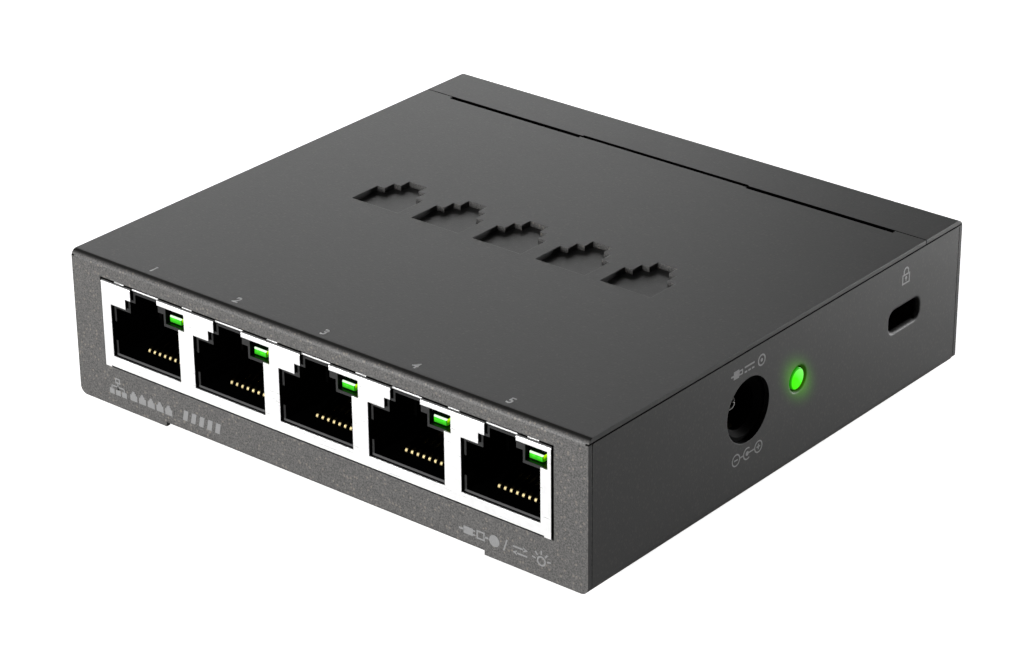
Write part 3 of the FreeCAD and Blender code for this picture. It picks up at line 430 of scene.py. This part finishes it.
def port_lens():
    """Lit green block: green front, yellow-green right side, painted shade on its rounded edges and on its
    top, and a painted white highlight on the front of its top.
    """
    s = Shader("port_lens")
    swirl = s.noise(0.5 * MM, 2.0, 0.5)
    low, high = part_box("port_lights")
    upward = s.facing(UP)
    green = s.mix(s.remap(swirl, 0.35, 0.7), (0.03, 0.5, 0.01, 1), (0.07, 0.8, 0.015, 1))
    green = s.mix(s.remap(s.place(2), high.z - 0.45 * MM, low.z), green, (0.015, 0.2, 0.008, 1))
    # Painted shade on the rounded edges that face neither front nor right
    colour = s.mix(s.remap(s.facing(-REAR), 0.93, 0.99), (0.003, 0.05, 0.001, 1), green)
    rise = s.remap(s.place(2), low.z + 0.3 * MM, high.z - 0.2 * MM)
    yellow = s.mix(rise, (0.03, 0.25, 0.0, 1), (0.5, 0.95, 0.0, 1))
    colour = s.mix(s.remap(s.facing(RIGHT), 0.93, 0.99), colour, yellow)
    # Painted white highlight on the bevel at the front of the top
    colour = s.mix(s.remap(upward, 0.4, 0.6), colour, (0.9, 1.0, 0.85, 1))
    # Painted shade on the top behind the bevel
    past_edge = s.remap(s.place(1), low.y + 0.2 * MM, low.y + 0.27 * MM)
    top_shade = s.product(past_edge, s.remap(upward, 0.7, 0.9))
    colour = s.mix(top_shade, colour, (0.0, 0.003, 0.0, 1))
    body = s.mix(top_shade, (0.01, 0.12, 0.004, 1), (0.0, 0.004, 0.0, 1))
    return s.finish(Base_Color=body, Roughness=0.25, Normal=s.bump(swirl, 0.01 * MM, 0.4),
                    Specular_IOR_Level=0.15, Emission_Color=colour, Emission_Strength=1.0)


def power_lens():
    """Lit green disc with a painted highlight, paler towards its upper rear, and a crescent of painted
    shade at its upper front; faces turned from the side are painted dark.
    """
    s = Shader("power_lens")
    low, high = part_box("power_light")
    middle = (low + high) / 2
    rearward = s.math("SUBTRACT", s.place(1), middle.y)
    slant = s.math("ADD", rearward, s.math("SUBTRACT", s.place(2), middle.z))
    swirl = s.noise(0.7 * MM, 2.0, 0.5)
    # Painted highlight, paler towards the upper rear
    pale_highlight = s.math("ADD", s.remap(slant, -0.2 * MM, 2.4 * MM), s.remap(swirl, 0.3, 0.7, -0.06, 0.06))
    colour = s.mix(pale_highlight, (0.06, 1.0, 0.0, 1), (0.28, 1.0, 0.2, 1))
    # Crescent of painted shade at the upper front
    reach = s.side_reach(middle.y + 0.2 * MM, middle.z - 0.16 * MM, 1.5 * MM, 1.5 * MM)
    crescent = s.remap(reach, 0.93, 1.05)
    colour = s.mix(crescent, colour, (0.012, 0.3, 0.0, 1))
    # Painted shade on faces turned from the side
    face = s.remap(s.facing(RIGHT), 0.3, 0.9)
    colour = s.mix(face, (0.01, 0.2, 0.002, 1), colour)
    return s.finish(Base_Color=(0.01, 0.1, 0.0, 1), Roughness=0.3, Normal=s.bump(swirl, 0.01 * MM, 0.3),
                    Specular_IOR_Level=0.1, Emission_Color=colour, Emission_Strength=1.0)


def solder_mask():
    """Green board: tracks under the mask, plated vias, and bare laminate at its edges."""
    s = Shader("solder_mask")
    bricks = {"Vector": s.coords, "Scale": 420.0, "Mortar Size": 0.05, "Brick Width": 0.9}
    bricks.update({"Row Height": 0.16, "Color1": grey(1.0), "Color2": grey(0.0), "Mortar": grey(0.0)})
    fine = s.node("ShaderNodeTexBrick", bricks, offset=0.37)
    tracks = s.math("MULTIPLY", fine.outputs["Color"], s.remap(s.noise(7 * MM, 1.0), 0.42, 0.5))
    blotch = s.noise(12 * MM, 2.0)
    mask = s.mix(s.remap(blotch, 0.3, 0.7), (0.006, 0.07, 0.026, 1), (0.009, 0.1, 0.037, 1))
    colour = s.mix(tracks, mask, (0.03, 0.2, 0.06, 1))
    vias = s.dots(2.1 * MM, 0.13, 0.5)
    holes = s.dots(2.1 * MM, 0.06, 0.5)
    colour = s.mix(vias, colour, (0.62, 0.56, 0.38, 1))
    colour = s.mix(holes, colour, grey(0.01))
    level = s.math("ABSOLUTE", s.facing(UP))
    colour = s.mix(s.remap(level, 0.5, 0.1), colour, (0.3, 0.28, 0.13, 1))
    height = s.math("ADD", tracks, s.math("MULTIPLY", vias, 0.6))
    return s.finish(Base_Color=colour, Roughness=s.remap(blotch, 0.3, 0.7, 0.22, 0.34),
                    Normal=s.bump(height, 0.03 * MM, 0.6), Specular_IOR_Level=0.5)


def soft_rubber():
    """Matt black rubber with a film of dust."""
    s = Shader("soft_rubber")
    grain = s.noise(0.18 * MM, 3.0, 0.7)
    dust = s.noise(3 * MM, 3.0, 0.6)
    colour = s.mix(s.remap(dust, 0.4, 0.8, 0, 0.5), grey(0.018), grey(0.05, 0.05))
    return s.finish(Base_Color=colour, Roughness=s.remap(grain, 0.2, 0.8, 0.7, 0.9),
                    Normal=s.bump(grain, 0.03 * MM, 0.7))


def label_film():
    """Silver-white film with a faint cross-hatched face."""
    s = Shader("label_film")
    hatch = s.noise(0.2 * MM, 1.0, 0.5, s.mapped((1.0, 0.15, 1.0)))
    colour = s.mix(hatch, grey(0.55), grey(0.64))
    return s.finish(Base_Color=colour, Metallic=0.3, Roughness=s.remap(hatch, 0.3, 0.7, 0.35, 0.5),
                    Normal=s.bump(hatch, 0.01 * MM, 0.4))


def ceramic_body():
    """Fired chips, tan or black by where they lie on the board."""
    s = Shader("ceramic_body")
    grain = s.noise(0.15 * MM, 3.0, 0.6)
    which = s.noise(4 * MM, 0.0)
    tan_or_black = s.math("GREATER_THAN", which, 0.5)
    colour = s.mix(tan_or_black, (0.3, 0.2, 0.11, 1), grey(0.02))
    colour = s.mix(s.remap(grain, 0.3, 0.8, 0, 0.35), colour, grey(0.09, 0.1))
    return s.finish(Base_Color=colour, Roughness=0.45, Normal=s.bump(grain, 0.01 * MM, 0.5))


def ink(name, value):
    """Pad-printed ink: thin, slightly patchy, with a broken edge."""
    s = Shader(name)
    patch = s.noise(0.16 * MM, 4.0, 0.7)
    colour = s.mix(s.remap(patch, 0.3, 0.7), grey(value * 0.82), grey(value * 1.08))
    return s.finish(Base_Color=colour, Roughness=s.remap(patch, 0.2, 0.8, 0.5, 0.7),
                    Normal=s.bump(patch, 0.01 * MM, 0.5))


def floor_paper():
    """White paper, lit up for the camera so that it stays white and its shadows stay faint."""
    s = Shader("floor_paper")
    tooth = s.noise(1.5 * MM, 3.0, 0.6)
    colour = s.mix(tooth, grey(0.8), grey(0.84))
    seen = s.node("ShaderNodeLightPath").outputs["Is Camera Ray"]
    return s.finish(Base_Color=colour, Roughness=0.85, Normal=s.bump(tooth, 0.02 * MM, 0.2),
                    Specular_IOR_Level=0.1, Emission_Color=grey(1.0),
                    Emission_Strength=s.math("MULTIPLY", seen, FLOOR_LIFT))


def materials_by_slot():
    """One material for each of the record's material slots."""
    return {
        "painted_steel": powder_coat(),
        "bright_plate": bright_plate(),
        "zinc_screw": bare_metal("zinc_screw", (0.62, 0.64, 0.66, 1), 0.25, 0.4),
        "black_plastic": moulded("black_plastic", 0.012, 0.4, 0.6),
        "gilt": bare_metal("gilt", (0.95, 0.72, 0.3, 1), 0.16, 0.3, 0.12 * MM),
        "spring_brass": bare_metal("spring_brass", (0.75, 0.6, 0.34, 1), 0.25, 0.4),
        "green_lens": power_lens(),
        "board_laminate": solder_mask(),
        "chip_epoxy": moulded("chip_epoxy", 0.022, 0.5, 0.7, 0.09 * MM),
        "tinned_leads": bare_metal("tinned_leads", (0.7, 0.7, 0.69, 1), 0.3, 0.5, 0.15 * MM),
        "can_aluminium": bare_metal("can_aluminium", (0.8, 0.81, 0.82, 1), 0.25, 0.38),
        "chip_ceramic": ceramic_body(),
        "foot_rubber": soft_rubber(),
        "label_film": label_film(),
    }


def dress_nodes(frame):
    """Gives each CAD node its slot's material, or its own where the slot's is too plain for it; the own
    materials paint light and shade on their parts.
    """
    materials = materials_by_slot()
    for part in frame["record"]["subparts"]:
        mesh = frame["nodes"][part["node"]].data
        mesh.materials.clear()
        mesh.materials.append(materials[part["material_slot"]])
    own = {
        "jack_housing": housing_black(frame),
        "port_lights": port_lens(),
        "dc_jack_pin": inlet_pin(frame),
        # The inlet's body is darker and duller than the slot's black plastic: painted shade deep in the
        # inlet
        "dc_jack_body": moulded("inlet_black", 0.002, 0.5, 0.7, edge_value=0.004, level=0.02),
    }
    springs = gilt_springs()
    for i in range(PORTS):
        own[f"port_{i + 1}_spring_contacts"] = springs
    for node, material in own.items():
        frame["nodes"][node].data.materials[0] = material
    return materials


# ---------------------------------------------------------------- flat printed shapes


def new_piece(name, mesh, material, body=None):
    """Puts a mesh with one material into the scene, to ride on a body where one is named."""
    mesh.materials.clear()
    mesh.materials.append(material)
    made = bpy.data.objects.new(name, mesh)
    bpy.context.scene.collection.objects.link(made)
    if body:
        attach(made, body)
    return made


def from_bmesh(name, shape):
    """Turns a bmesh into mesh data and frees it."""
    mesh = bpy.data.meshes.new(name)
    shape.to_mesh(mesh)
    shape.free()
    return mesh


class Print:
    """Flat shapes in one plane, made into one thin mesh. Lengths are in millimetres from the origin."""

    def __init__(self, origin, right, up):
        self.origin, self.right, self.up = Vector(origin), Vector(right), Vector(up)
        self.out = self.right.cross(self.up)
        self.mesh = bmesh.new()

    def point(self, x, z, height):
        """A place on the plane, raised off it by height in metres."""
        return self.origin + self.right * (x * MM) + self.up * (z * MM) + self.out * height

    def ribbon(self, inner, outer, closed=False):
        """Band between two rows of points, one film of ink thick."""
        levels = ((inner, 0), (outer, 0), (outer, INK_HEIGHT), (inner, INK_HEIGHT))
        rows = [[self.mesh.verts.new(self.point(x, z, height)) for x, z in row] for row, height in levels]
        count = len(inner)
        for i in range(count if closed else count - 1):
            j = (i + 1) % count
            for k in range(4):
                a, b = rows[k], rows[(k + 1) % 4]
                self.mesh.faces.new((a[i], a[j], b[j], b[i]))
        if not closed:
            for i in (0, -1):
                self.mesh.faces.new([row[i] for row in rows])

    def bar(self, x0, z0, x1, z1, width):
        """Straight stroke from one point to another."""
        length = math.hypot(x1 - x0, z1 - z0)
        dx = (z0 - z1) / length * width / 2
        dz = (x1 - x0) / length * width / 2
        self.ribbon([(x0 + dx, z0 + dz), (x1 + dx, z1 + dz)], [(x0 - dx, z0 - dz), (x1 - dx, z1 - dz)])

    def frame(self, x0, x1, z0, z1, width):
        """Hollow rectangle, whose stroke lies inside its corners."""
        outer, inner = [[(x0 + inset, z0 + inset), (x1 - inset, z0 + inset),
                         (x1 - inset, z1 - inset), (x0 + inset, z1 - inset)] for inset in (0, width)]
        self.ribbon(inner, outer, closed=True)

    def block(self, x0, x1, z0, z1, lean=0.0):
        """Filled rectangle. lean slants it like italic type."""
        rise = (z1 - z0) * lean
        self.ribbon([(x0, z0), (x0 + rise, z1)], [(x1, z0), (x1 + rise, z1)])

    def ring(self, x, z, radius, width, start=0.0, end=360.0):
        """Circle or arc stroke, angles in degrees anticlockwise from +right."""
        sweep = end - start
        closed = sweep >= 360
        steps = max(6, int(sweep / 10))
        count = steps if closed else steps + 1
        angles = [math.radians(start + sweep * i / steps) for i in range(count)]
        inner, outer = [[(x + r * math.cos(a), z + r * math.sin(a)) for a in angles]
                        for r in (radius - width / 2, radius + width / 2)]
        self.ribbon(inner, outer, closed)

    def disc(self, x, z, radius):
        """Filled circle, as a ring with a pinprick in its middle."""
        self.ring(x, z, radius * 0.505, radius * 0.99)

    def make(self, name, material, body):
        bmesh.ops.recalc_face_normals(self.mesh, faces=self.mesh.faces)
        new_piece(name, from_bmesh(name, self.mesh), material, body)


def port_places(frame):
    """The sockets' centres along X, in metres, left to right."""
    flexes = [j for j in frame["joints"] if j["name"].startswith("port_")]
    return sorted(j["pos_m"][0] for j in flexes)


def port_numbers(frame, material):
    """Numbers 1 to 5 printed on the roof above the sockets."""
    low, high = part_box("top_cover")
    height = 1.5 * MM
    font_share = 0.72    # a digit's height in the built-in font, as a share of the font's size
    for i, x in enumerate(port_places(frame)):
        text = bpy.data.curves.new("number", "FONT")
        text.body = str(i + 1)
        text.size = height / font_share
        text.align_x = "CENTER"
        text.extrude = INK_HEIGHT
        text.offset = 0.03 * MM
        text.resolution_u = 6
        made = bpy.data.objects.new("number_curve", text)
        bpy.context.scene.collection.objects.link(made)
        made.location = (x - 0.25 * MM, low.y + 1.75 * MM, high.z)
        bpy.context.view_layer.update()
        graph = bpy.context.evaluated_depsgraph_get()
        mesh = bpy.data.meshes.new_from_object(made.evaluated_get(graph))
        mesh.transform(made.matrix_world)
        bpy.data.objects.remove(made)
        new_piece(f"port_number_{i + 1}", mesh, material, COVER)


def network_mark(art, x, z, size):
    """Generic network tree: one box above three, joined by lines."""
    unit = size / 3.0
    stroke = unit * 0.2
    art.frame(x + unit * 1.05, x + unit * 1.95, z + unit * 1.75, z + unit * 2.55, stroke)
    art.bar(x + unit * 1.5, z + unit * 1.75, x + unit * 1.5, z + unit * 0.8, stroke)
    art.bar(x + unit * 0.35, z + unit * 1.25, x + unit * 2.65, z + unit * 1.25, stroke)
    for i in range(3):
        left = x + unit * (i * 1.15 - 0.1)
        art.bar(left + unit * 0.45, z + unit * 1.25, left + unit * 0.45, z + unit * 0.78, stroke)
        art.block(left, left + unit * 0.9, z, z + unit * 0.8)


def socket_icon(art, x, z, height):
    """Small filled socket outline: body, step and latch notch."""
    width = height * 0.92
    art.block(x, x + width, z, z + height * 0.62)
    art.block(x + width * 0.2, x + width * 0.8, z + height * 0.62, z + height * 0.82)
    art.block(x + width * 0.34, x + width * 0.66, z + height * 0.82, z + height)


def front_prints(material):
    """Marks below the sockets: a network tree, socket icons and a tally, and a legend for the lights."""
    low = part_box("top_cover")[0]
    origin = (0, low.y, low.z)
    art = Print(origin, RIGHT, UP)
    network_mark(art, -39.9, 1.85, 3.2)
    for i in range(PORTS):
        socket_icon(art, -35.9 + 1.72 * i, 1.95, 1.5)
    art.make("front_mark", material, COVER)
    art = Print(origin, RIGHT, UP)
    for i in range(PORTS):
        art.block(-25.6 + 1.55 * i, -24.75 + 1.55 * i, 2.15, 3.75, 0.22)
    art.make("front_tally", material, COVER)
    art = Print(origin, RIGHT, UP)
    chain_link(art, 27.5, 2.65)
    art.disc(30.6, 2.65, 0.86)
    art.bar(32.15, 1.85, 32.75, 3.6, 0.24)
    arrows_icon(art, 34.9, 2.65)
    blinking_lamp(art, 38.4, 2.45)
    art.make("front_legend", material, COVER)


def chain_link(art, x, z):
    """Two plugs meeting: the sign for a connected cable."""
    art.block(x - 2.1, x - 0.5, z - 0.55, z + 0.55)
    art.bar(x - 2.9, z, x - 2.0, z, 0.28)
    for dz in (-0.3, 0.3):
        art.bar(x - 0.5, z + dz, x - 0.1, z + dz, 0.22)
    art.frame(x + 0.1, x + 1.5, z - 0.65, z + 0.65, 0.24)
    art.bar(x + 1.4, z, x + 2.1, z, 0.28)


def arrows_icon(art, x, z):
    """Two opposite arrows: the sign for traffic."""
    for side in (-1, 1):
        y = z + side * 0.42
        art.bar(x - side * 1.2, y, x + side * 0.7, y, 0.24)
        art.ribbon([(x + side * 0.5, y - 0.38), (x + side * 0.5, y + 0.38)],
                   [(x + side * 1.25, y - 0.02), (x + side * 1.25, y + 0.02)])


def blinking_lamp(art, x, z):
    """Round lamp with rays above it."""
    art.ring(x, z, 0.62, 0.24)
    for degrees in range(10, 180, 40):
        angle = math.radians(degrees)
        along, up = math.cos(angle), math.sin(angle)
        art.bar(x + 0.95 * along, z + 0.95 * up, x + 1.55 * along, z + 1.55 * up, 0.24)


def mount_place(frame, name):
    """Where a mount of the record is, in metres."""
    return next(Vector(m["pos_m"]) for m in frame["record"]["mounts"] if m["name"] == name)


def side_prints(frame, material):
    """Marks on the right side: the supply's symbols round the inlet, and a padlock over the slot."""
    x_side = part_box("base_tray")[1].x
    for name, mount, draw in (("supply_icons", "power_inlet", supply_icons),
                              ("polarity_sign", "power_inlet", polarity_sign),
                              ("padlock_sign", "lock_slot", padlock)):
        place = mount_place(frame, mount)
        art = Print((x_side, place.y, place.z), REAR, UP)
        draw(art)
        art.make(name, material, BASE)


def supply_icons(art):
    """A barrel plug from the side, the direct-current sign, and the plug end on."""
    z = 6.3
    dash, dash_pitch = 0.56, 0.82
    art.bar(-4.05, z, -3.5, z, 0.26)
    art.block(-3.5, -2.3, z - 0.6, z + 0.6)
    art.frame(-2.4, -1.45, z - 0.38, z + 0.38, 0.2)
    art.bar(-1.05, z + 0.35, 1.15, z + 0.35, 0.26)
    for i in range(3):
        start = -1.05 + dash_pitch * i
        art.bar(start, z - 0.35, start + dash, z - 0.35, 0.26)
    art.ring(2.8, z, 0.75, 0.24)
    art.disc(2.8, z, 0.26)


def polarity_sign(art):
    """Ring with minus, open ring with a dot, ring with plus, joined by lines: centre positive."""
    z = -6.55
    pitch = 2.55
    radius = 0.83
    stroke = 0.2
    arm = 0.42
    art.ring(-pitch, z, radius, stroke)
    art.ring(pitch, z, radius, stroke)
    art.ring(0, z, radius, stroke, 55, 305)
    art.disc(0, z, 0.34)
    art.bar(-pitch + radius, z, -radius, z, stroke)
    art.bar(0.2, z, pitch - radius, z, stroke)
    art.bar(-pitch - arm, z, -pitch + arm, z, stroke)
    art.bar(pitch - arm, z, pitch + arm, z, stroke)
    art.bar(pitch, z - arm, pitch, z + arm, stroke)


def padlock(art):
    """Padlock with a keyhole."""
    z = 4.95
    art.frame(-0.95, 0.95, z, z + 1.55, 0.24)
    art.disc(0, z + 0.9, 0.26)
    art.bar(0, z + 0.85, 0, z + 0.4, 0.2)
    art.ring(0, z + 1.9, 0.55, 0.26, 0, 180)
    for side in (-1, 1):
        art.bar(side * 0.55, z + 1.5, side * 0.55, z + 1.92, 0.26)


# ---------------------------------------------------------------- detail on the board


def solid_boxes(node):
    """Lowest and highest corners of each separate solid of a CAD node, in metres."""
    mesh = bmesh.new()
    mesh.from_mesh(bpy.data.objects[node].data)
    bmesh.ops.remove_doubles(mesh, verts=mesh.verts, dist=1e-7)
    seen = set()
    boxes = []
    for start in mesh.verts:
        if start in seen:
            continue
        seen.add(start)
        island, queue = [], [start]
        while queue:
            vert = queue.pop()
            island.append(vert.co[:])
            for edge in vert.link_edges:
                other = edge.other_vert(vert)
                if other not in seen:
                    seen.add(other)
                    queue.append(other)
        co = np.array(island)
        boxes.append((Vector(co.min(0)), Vector(co.max(0))))
    mesh.free()
    return boxes


def board_legend(material):
    """White outlines printed round the larger parts on the board."""
    gaps = {"magnetics_modules": 0.35, "electrolytic_capacitors": 0.45, "power_inductors": 0.4,
            "input_fuse": 0.35, "input_diode": 0.35, "crystal_can": 0.4}
    art = Print((0, 0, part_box("circuit_board")[1].z), RIGHT, REAR)
    for node, gap in gaps.items():
        for low, high in solid_boxes(node):
            art.frame(low.x / MM - gap, high.x / MM + gap, low.y / MM - gap, high.y / MM + gap, 0.15)
    art.make("board_legend", material, BASE)


def rounded_box(mesh, low, high, bevel):
    """Adds a box with bevelled edges to a bmesh."""
    size = high - low
    place = Matrix.Translation((low + high) / 2) @ Matrix.Diagonal((*size, 1.0))
    made = bmesh.ops.create_cube(mesh, size=1.0, matrix=place)
    edges = list({e for v in made["verts"] for e in v.link_edges})
    bmesh.ops.bevel(mesh, geom=edges, offset=bevel, segments=2, profile=0.5, affect="EDGES")


def passive_end_caps(material):
    """Tinned end caps wrapped round each chip resistor and capacitor."""
    mesh = bmesh.new()
    skin = 0.02 * MM
    cap_share = 0.24
    bevel = 0.05 * MM
    for low, high in solid_boxes("small_passives"):
        size = high - low
        axis = 0 if size.x > size.y else 1
        reach = size[axis] * cap_share
        near_end, far_end = high.copy(), low.copy()
        near_end[axis] = low[axis] + reach
        far_end[axis] = high[axis] - reach
        for a, b in ((low, near_end), (far_end, high)):
            rounded_box(mesh, a - Vector((skin, skin, 0)), b + Vector((skin, skin, skin)), bevel)
    new_piece("passive_end_caps", from_bmesh("passive_end_caps", mesh), material, BASE)


# ---------------------------------------------------------------- stage, lights and camera


def floor():
    """A wide white floor under the feet."""
    mesh = bmesh.new()
    corners = ((-1, -1), (1, -1), (1, 1), (-1, 1))
    mesh.faces.new([mesh.verts.new((x * FLOOR_HALF, y * FLOOR_HALF, 0)) for x, y in corners])
    new_piece("floor", from_bmesh("floor", mesh), floor_paper())


def softbox(name, place, aim, size, power):
    """Area light at place, in metres, turned towards aim."""
    data = bpy.data.lights.new(name, "AREA")
    data.shape = "RECTANGLE"
    data.size, data.size_y = size
    data.energy = power
    made = bpy.data.objects.new(name, data)
    made.location = place
    made.rotation_mode = "QUATERNION"
    made.rotation_quaternion = (Vector(aim) - Vector(place)).to_track_quat("-Z", "Y")
    bpy.context.scene.collection.objects.link(made)


def lights():
    """Six area lights and a weak even light all round."""
    world = bpy.data.worlds.new("studio")
    world.use_nodes = True
    background = world.node_tree.nodes["Background"]
    background.inputs["Color"].default_value = (1, 1, 1, 1)
    background.inputs["Strength"].default_value = WORLD_LIGHT
    bpy.context.scene.world = world
    softbox("front_left", (-0.16, -0.42, 0.05), (0, -0.04, 0.012), (0.32, 0.08), 1.4)
    softbox("front_middle", (-0.02, -0.5, 0.06), (0, -0.04, 0.012), (0.12, 0.1), 2.7)
    softbox("left", (-0.33, 0.0, 0.11), (-0.02, 0, 0.02), (0.3, 0.15), 0.27)
    softbox("left_rear", (-0.3, 0.25, 0.13), (-0.02, 0, 0.02), (0.3, 0.15), 0.37)
    softbox("rear_left", (-0.7, 0.9, 0.42), (-0.02, 0.02, 0.02), (0.7, 0.4), 0.8)
    softbox("rear_right", (0.16, 0.24, 0.03), (0.046, 0.03, 0.012), (0.1, 0.05), 0.8)


CAMERA_AZIMUTH = 39.49
CAMERA_ELEVATION = 26.0
CAMERA_ROLL = -0.491
CAMERA_DISTANCE = 0.46782
CAMERA_SHIFT = (-0.00058, -0.00549)
CAMERA_AIM = Vector((0, 0, 0.01438))
CAMERA_LENS = 114.57
SENSOR_WIDTH = 36.0


def camera():
    """The camera: a turn and height about the aim point, a small slide across, and a slight roll."""
    az, el, roll = (math.radians(a) for a in (CAMERA_AZIMUTH, CAMERA_ELEVATION, CAMERA_ROLL))
    back = Vector((math.sin(az) * math.cos(el), -math.cos(az) * math.cos(el), math.sin(el)))
    right = Vector((math.cos(az), math.sin(az), 0))
    up = back.cross(right)
    rolled_right = right * math.cos(roll) + up * math.sin(roll)
    rolled_up = up * math.cos(roll) - right * math.sin(roll)
    data = bpy.data.cameras.new("camera")
    data.lens = CAMERA_LENS
    data.sensor_width = SENSOR_WIDTH
    data.sensor_fit = "HORIZONTAL"
    data.clip_start, data.clip_end = 0.01, 20.0
    made = bpy.data.objects.new("camera", data)
    slide = right * CAMERA_SHIFT[0] + up * CAMERA_SHIFT[1]
    place = CAMERA_AIM + back * CAMERA_DISTANCE + slide
    turn = Matrix((rolled_right, rolled_up, back)).transposed().to_4x4()
    made.matrix_world = Matrix.Translation(place) @ turn
    bpy.context.scene.collection.objects.link(made)
    bpy.context.scene.camera = made


# ---------------------------------------------------------------- the scene

for item in list(bpy.data.objects):
    bpy.data.objects.remove(item)
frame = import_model()

slot_materials = dress_nodes(frame)
front_prints(ink("legend_ink", LEGEND_INK))
side_prints(frame, ink("side_ink", SIDE_INK))
port_numbers(frame, ink("roof_ink", ROOF_INK))
board_legend(ink("board_ink", BOARD_INK))
passive_end_caps(slot_materials["tinned_leads"])

floor()
lights()
camera()
bpy.context.scene.view_settings.view_transform = "Standard"
